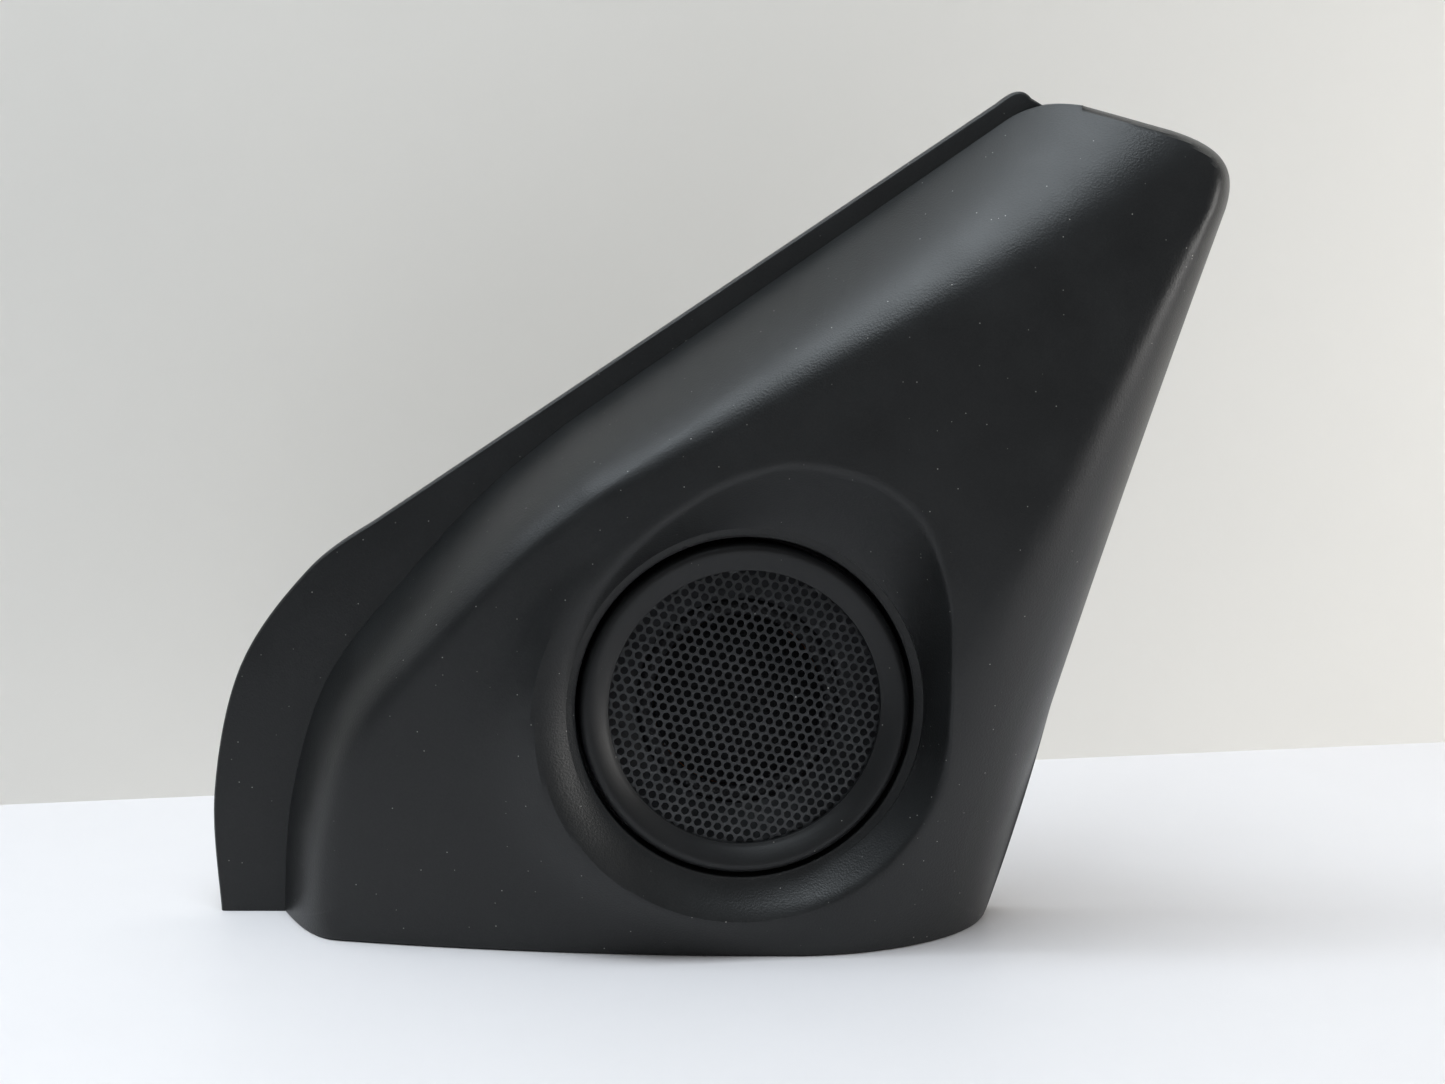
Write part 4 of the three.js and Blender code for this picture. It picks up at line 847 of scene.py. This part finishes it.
def mixed(tree, share, a, b):
    """A blend of two colours, each an output or three numbers."""
    node = tree.nodes.new("ShaderNodeMix")
    node.data_type = "RGBA"
    tree.links.new(share, node.inputs[0])
    for index, value in ((6, a), (7, b)):
        if isinstance(value, tuple):
            node.inputs[index].default_value = (*value, 1)
        else:
            tree.links.new(value, node.inputs[index])
    return node.outputs[2]


def surface(tree, shader, tone, rough):
    """Links a colour and a roughness to the shader."""
    tree.links.new(tone, shader.inputs["Base Color"])
    tree.links.new(rough, shader.inputs["Roughness"])


def bumped(tree, shader, heights):
    """A chain of bumps: (height output, depth in mm, strength)."""
    normal = None
    for height, depth, strength in heights:
        node = tree.nodes.new("ShaderNodeBump")
        socket(node, "Strength", strength)
        socket(node, "Distance", depth * 0.001)
        tree.links.new(height, node.inputs["Height"])
        if normal is not None:
            tree.links.new(normal, node.inputs["Normal"])
        normal = node.outputs["Normal"]
    tree.links.new(normal, shader.inputs["Normal"])


def specks(tree, place, size_mm, share, radius):
    """A mask of sparse dust: small dots in a few cells of a lattice of random points."""
    node = tree.nodes.new("ShaderNodeTexVoronoi")
    socket(node, "Scale", 1000.0 / size_mm)
    tree.links.new(place, node.inputs["Vector"])
    near = ranged(tree, node.outputs["Distance"], 1, 0, radius * 0.5, radius)
    split = tree.nodes.new("ShaderNodeSeparateColor")
    tree.links.new(node.outputs["Color"], split.inputs[0])
    few = ranged(tree, split.outputs[0], 0, 1, 1 - share, 1 - share * 0.6)
    both = tree.nodes.new("ShaderNodeMath")
    both.operation = "MULTIPLY"
    tree.links.new(near, both.inputs[0])
    tree.links.new(few, both.inputs[1])
    return both.outputs[0]


def grained_plastic(name, color, rough, grain_mm, depth, dust=0.0, spec=0.5, cloud=0.18):
    """Moulded plastic: a fine leathery grain, faint cloudiness, and specks of dust if asked for."""
    mat, tree, shader, place = base_material(name)
    cells = noise(tree, place, grain_mm, kind="CELLS")
    fine = noise(tree, place, grain_mm * 0.6, 2.0, 0.6)
    broad = noise(tree, place, 9.0, 3.0)
    dark = scaled(color, 1 - cloud)
    light = scaled(color, 1 + cloud)
    tone = mixed(tree, ranged(tree, broad, 0, 1), dark, light)
    tone = mixed(tree, ranged(tree, cells, 0, 0.35, 0.1, 0.8), tone, scaled(color, 1.9))
    if dust:
        mask = specks(tree, place, 1.0, dust, 0.11)
        tone = mixed(tree, mask, tone, (0.32, 0.31, 0.29))
    surface(tree, shader, tone, ranged(tree, broad, rough - 0.035, rough + 0.035))
    socket(shader, "Specular IOR Level", spec)
    bumped(tree, shader, [(cells, depth, 0.6), (fine, depth * 0.7, 0.6)])
    return mat


def metal(name, color, rough, brushed=False):
    """Bare or plated metal with fine scratches, drawn out along its length if brushed."""
    mat, tree, shader, place = base_material(name, 1.0)
    source = place
    if brushed:
        stretch = tree.nodes.new("ShaderNodeMapping")
        socket(stretch, "Scale", (1, 0.06, 1))
        tree.links.new(place, stretch.inputs["Vector"])
        source = stretch.outputs["Vector"]
    fine = noise(tree, source, 0.4, 4.0, 0.6)
    broad = noise(tree, place, 5.0, 4.0, 0.6)
    tone = mixed(tree, ranged(tree, broad, 0, 1), scaled(color, 0.72), color)
    surface(tree, shader, tone, ranged(tree, fine, rough * 0.75, min(rough * 1.35, 1.0)))
    bumped(tree, shader, [(fine, 0.004, 0.5)])
    return mat


def foam(name, color, cell_mm):
    """Open-cell foam or felt: dark pores, light struts, no gloss."""
    mat, tree, shader, place = base_material(name)
    cells = noise(tree, place, cell_mm, kind="CELLS")
    fuzz = noise(tree, place, cell_mm * 0.4, 3.0, 0.7)
    broad = noise(tree, place, 6.0)
    tone = mixed(tree, ranged(tree, cells, 0, 1, 0.15, 0.75), scaled(color, 0.45), scaled(color, 1.35))
    tone = mixed(tree, ranged(tree, broad, 0, 0.3), tone, scaled(color, 0.6))
    surface(tree, shader, tone, ranged(tree, fuzz, 0.88, 1.0))
    socket(shader, "Sheen Weight", 0.25)
    socket(shader, "Sheen Roughness", 0.6)
    bumped(tree, shader, [(cells, 0.12, 0.8), (fuzz, 0.05, 0.7)])
    return mat


def woven(name, color, pitch_mm, coat, spec):
    """Coated cloth: two crossed sets of threads under a thin film."""
    mat, tree, shader, place = base_material(name)
    waves = []
    for turn in (0.0, math.pi / 2):
        spin = tree.nodes.new("ShaderNodeMapping")
        socket(spin, "Rotation", (0, turn, 0))
        tree.links.new(place, spin.inputs["Vector"])
        wave = tree.nodes.new("ShaderNodeTexWave")
        socket(wave, "Scale", 1000.0 / pitch_mm / 6.0)
        socket(wave, "Distortion", 0.6)
        tree.links.new(spin.outputs["Vector"], wave.inputs["Vector"])
        waves.append(wave.outputs["Fac"])
    cross = tree.nodes.new("ShaderNodeMath")
    cross.operation = "MAXIMUM"
    tree.links.new(waves[0], cross.inputs[0])
    tree.links.new(waves[1], cross.inputs[1])
    broad = noise(tree, place, 3.0)
    tone = mixed(tree, cross.outputs[0], scaled(color, 0.55), color)
    tone = mixed(tree, ranged(tree, broad, 0, 0.25), tone, scaled(color, 1.4))
    surface(tree, shader, tone, ranged(tree, broad, 0.5, 0.68))
    socket(shader, "Specular IOR Level", spec)
    socket(shader, "Coat Weight", coat)
    socket(shader, "Coat Roughness", 0.35)
    bumped(tree, shader, [(cross.outputs[0], 0.05, 0.6)])
    return mat


def painted_sheet(name):
    """Black paint on perforated steel: slight orange peel, with dust held in the rows of holes."""
    mat, tree, shader, place = base_material(name)
    peel = noise(tree, place, 0.25, 3.0)
    broad = noise(tree, place, 5.0, 3.0)
    tone = mixed(tree, ranged(tree, broad, 0, 1), (0.019, 0.020, 0.021), (0.031, 0.032, 0.034))
    mask = specks(tree, place, 1.2, 0.05, 0.1)
    tone = mixed(tree, mask, tone, (0.5, 0.49, 0.46))
    surface(tree, shader, tone, ranged(tree, peel, 0.3, 0.44))
    socket(shader, "Specular IOR Level", 0.4)
    bumped(tree, shader, [(peel, 0.01, 0.5)])
    return mat


def gloss(name, color, rough, coat=0.0, spec=0.5):
    """Smooth plastic or film, faintly clouded, with a clear coat if asked for."""
    mat, tree, shader, place = base_material(name)
    fine = noise(tree, place, 0.8, 3.0)
    broad = noise(tree, place, 7.0, 3.0)
    tone = mixed(tree, ranged(tree, broad, 0, 1), scaled(color, 0.8), scaled(color, 1.15))
    surface(tree, shader, tone, ranged(tree, fine, rough * 0.8, rough * 1.3))
    socket(shader, "Specular IOR Level", spec)
    socket(shader, "Coat Weight", coat)
    socket(shader, "Coat Roughness", 0.1)
    bumped(tree, shader, [(fine, 0.008, 0.35)])
    return mat


def wound_copper(name):
    """Enamelled winding: fine turns side by side round the tweeter's axis."""
    mat, tree, shader, place = base_material(name, 1.0)
    spin = tree.nodes.new("ShaderNodeMapping")
    spin.vector_type = "POINT"
    socket(spin, "Rotation", (math.radians(-85), 0, -YAW))
    tree.links.new(place, spin.inputs["Vector"])
    wave = tree.nodes.new("ShaderNodeTexWave")
    wave.bands_direction = "Z"
    socket(wave, "Scale", 900.0)
    tree.links.new(spin.outputs["Vector"], wave.inputs["Vector"])
    tone = mixed(tree, wave.outputs["Fac"], (0.28, 0.09, 0.03), (0.72, 0.31, 0.13))
    surface(tree, shader, tone, ranged(tree, wave.outputs["Fac"], 0.2, 0.4, 0, 1))
    bumped(tree, shader, [(wave.outputs["Fac"], 0.05, 0.6)])
    return mat


PANEL = grained_plastic("panel_plastic", (0.0088, 0.0093, 0.0095), 0.40, 0.32, 0.034, dust=0.13, spec=0.36)
BEZEL = grained_plastic("bezel_plastic", (0.0075, 0.0078, 0.0081), 0.40, 0.22, 0.010, dust=0.05, spec=0.34,
                        cloud=0.1)
HOUSING = grained_plastic("housing_plastic", (0.012, 0.0125, 0.0135), 0.46, 0.3, 0.012, cloud=0.15)
RING = grained_plastic("ring_plastic", (0.02, 0.02, 0.022), 0.5, 0.3, 0.01)
CLIP = grained_plastic("clip_plastic", (0.62, 0.59, 0.49), 0.42, 0.5, 0.01, cloud=0.06)
RED = grained_plastic("wire_red", (0.42, 0.02, 0.025), 0.45, 0.4, 0.01, cloud=0.1)
BLACK = grained_plastic("wire_black", (0.015, 0.015, 0.017), 0.45, 0.4, 0.01, cloud=0.1)
GRILLE = painted_sheet("grille_paint")
HORN = gloss("horn_plastic", (0.042, 0.043, 0.046), 0.38, spec=0.25)
SLEEVE = gloss("capacitor_sleeve", (0.012, 0.022, 0.11), 0.2, 0.3)
FORMER = gloss("former_film", (0.42, 0.26, 0.07), 0.3, 0.2)
FOAM = foam("foam_black", (0.045, 0.045, 0.048), 0.4)
FELT = foam("felt_grey", (0.15, 0.145, 0.13), 0.3)
CLOTH = woven("surround_cloth", (0.02, 0.02, 0.022), 0.3, 0.1, 0.3)
SILK = woven("dome_silk", (0.008, 0.008, 0.009), 0.24, 0.03, 0.15)
STEEL = metal("zinc_steel", (0.52, 0.53, 0.55), 0.34, True)
NICKEL = metal("nickel", (0.7, 0.69, 0.66), 0.18)
TIN = metal("tin", (0.66, 0.67, 0.69), 0.28, True)
BRASS = metal("brass", (0.78, 0.56, 0.24), 0.26, True)
SCREW = metal("screw_zinc", (0.5, 0.5, 0.51), 0.32)
COPPER = wound_copper("coil_copper")

# ---------------------------------------------------------------- the pieces


def finished(obj, mat, slot, *nodes, body=STATIC):
    """Gives a piece its material and its body, and hides the CAD pieces of the nodes it stands for. The slot is
    not used.
    """
    obj.data.materials.clear()
    obj.data.materials.append(mat)
    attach(obj, body)
    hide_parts(*nodes)
    return obj


finished(trim_panel(), PANEL, "panel_plastic", "trim_panel")
finished(bezel(), BEZEL, "bezel_plastic", "bezel_ring")
finished(grille(), GRILLE, "grille_steel", "grille_mesh")
finished(horn(), HORN, "horn_plastic", "horn_plate")
finished(dome(), SILK, "dome_film", "dome_diaphragm", body=MOVING)
finished(surround(), CLOTH, "surround_cloth", "surround")
finished(housing(), HOUSING, "housing_plastic", "rear_housing")
finished(capacitor(), SLEEVE, "capacitor_sleeve", "crossover_capacitor")
for side, angle in BLADES.items():
    finished(blade(f"blade_{side}", angle), TIN, "terminal_tin", f"terminal_{side}")
for number, angle in enumerate(EARS, 1):
    finished(screw(f"screw_{number}", angle), SCREW, "screw_steel", f"tweeter_screw_{number}")
for place, x, z in CLIPS:
    finished(door_clip(f"push_clip_{place}", x, z), CLIP, "clip_plastic", f"door_clip_{place}")
    seal = finished(foam_disc(f"foam_seal_{place}", x, z), FOAM, "foam", f"clip_seal_{place}")
strip = finished(foam_strip(), FOAM, "foam", "edge_foam_strip")
gasket = smooth(ring("foam_gasket", BEZEL_R + 0.3, FLANGE_R, GASKET_LOW, GASKET_TOP, 0.3), 60)
finished(gasket, FOAM, "foam", "mounting_gasket")
pad = finished(smooth(disc("felt_pad", 9.75, -10.7, -9.8, 0.3), 60), FELT, "felt", "dome_damping_pad")
rear = finished(smooth(disc("foam_pad", 14.0, -19.1, -18.5, 0.25), 60), FOAM, "foam", "rear_damping_pad")

for node, mat in (
    ("diaphragm_mount_ring", RING), ("coil_tab_positive", BRASS), ("coil_tab_negative", BRASS),
    ("pole_plate", STEEL), ("magnet", NICKEL), ("yoke_cup", STEEL), ("capacitor_lead_in", TIN),
    ("capacitor_lead_out", TIN), ("coil_lead_positive", RED), ("coil_lead_negative", BLACK),
    ("voice_coil_former", FORMER), ("voice_coil_winding", COPPER),
):
    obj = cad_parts[node]
    obj.data.materials.clear()
    obj.data.materials.append(mat)
    for polygon in obj.data.polygons:
        polygon.material_index = 0

# ---------------------------------------------------------------- floor, wall, light and camera


def stage_plane(name, corners, color, size_mm, one_sided=False, painted_shade=None):
    """A plain plane of the studio: seen from its front only, or darkened by painted shade towards one side, if
    asked for.
    """
    mesh = bpy.data.meshes.new(name)
    mesh.from_pydata([tuple(c * 0.001 for c in p) for p in corners], [], [(0, 1, 2, 3)])
    obj = bpy.data.objects.new(name, mesh)
    bpy.context.scene.collection.objects.link(obj)
    mat, tree, shader, place = base_material(name)
    fine = noise(tree, place, size_mm, 5.0, 0.6)
    tone = mixed(tree, ranged(tree, fine, 0, 1), scaled(color, 0.985), color)
    # Painted shade: the colour falls to 0.6 of itself towards low Y, standing in for less light on the floor's
    # front.
    if painted_shade:
        split = tree.nodes.new("ShaderNodeSeparateXYZ")
        tree.links.new(place, split.inputs[0])
        tone = mixed(tree, ranged(tree, split.outputs["Y"], 0, 1, painted_shade[0] * 0.001, painted_shade[1] * 0.001),
                     scaled(color, 0.6), tone)
    tree.links.new(tone, shader.inputs["Base Color"])
    bumped(tree, shader, [(fine, 0.02, 0.15)])
    if one_sided:
        side = tree.nodes.new("ShaderNodeNewGeometry")
        clear = tree.nodes.new("ShaderNodeBsdfTransparent")
        blend = tree.nodes.new("ShaderNodeMixShader")
        out = tree.nodes["Material Output"]
        tree.links.new(side.outputs["Backfacing"], blend.inputs[0])
        tree.links.new(shader.outputs[0], blend.inputs[1])
        tree.links.new(clear.outputs[0], blend.inputs[2])
        tree.links.new(blend.outputs[0], out.inputs["Surface"])
    mesh.materials.append(mat)


# The floor's front, towards the camera, is darkened with painted shade between Y -420 and -110 mm.
stage_plane("floor", [(-1500, -1500, 0), (1500, -1500, 0), (1500, 1500, 0), (-1500, 1500, 0)],
            (0.79, 0.765, 0.77), 30, painted_shade=(-420, -110))
stage_plane("wall", [(-1500, -170, 0), (1500, 330, 0), (1500, 330, 1500), (-1500, -170, 1500)],
            (0.87, 0.84, 0.785), 60, one_sided=True)


def area_light(name, position, target, size, power, color):
    """A rectangular soft light, turned towards its target."""
    data = bpy.data.lights.new(name, "AREA")
    data.shape = "RECTANGLE"
    data.size, data.size_y = size[0] * 0.001, size[1] * 0.001
    data.energy = power
    data.color = color
    obj = bpy.data.objects.new(name, data)
    bpy.context.scene.collection.objects.link(obj)
    obj.location = Vector(position) * 0.001
    direction = (Vector(target) - Vector(position)).normalized()
    obj.rotation_euler = direction.to_track_quat("-Z", "Y").to_euler()


area_light("ceiling", (-190, -90, 800), (-110, -20, 0), (900, 440), 9.0, (0.86, 0.94, 1.0))
area_light("window", (-420, 40, 520), (-10, 0, 70), (300, 260), 1.7, (0.82, 0.91, 1.0))
area_light("right_low", (520, -100, 90), (60, 0, 30), (200, 140), 0.95, (1.0, 0.98, 0.95))
area_light("front_low", (60, -700, 240), (0, 0, 40), (500, 260), 0.1, (1.0, 0.99, 0.97))

world = bpy.data.worlds.new("studio")
bpy.context.scene.world = world
world.use_nodes = True
world.node_tree.nodes["Background"].inputs[0].default_value = (0.95, 0.96, 1.0, 1)
world.node_tree.nodes["Background"].inputs[1].default_value = 0.14

camera_data = bpy.data.cameras.new("camera")
camera_data.lens = 65
camera_data.sensor_width = 36
camera_data.clip_start = 0.01
camera = bpy.data.objects.new("camera", camera_data)
bpy.context.scene.collection.objects.link(camera)
camera.location = (-0.003567, -0.392005, 0.126931)
camera.rotation_euler = (math.radians(80), 0, 0)
bpy.context.scene.camera = camera
bpy.context.scene.view_settings.view_transform = "Standard"
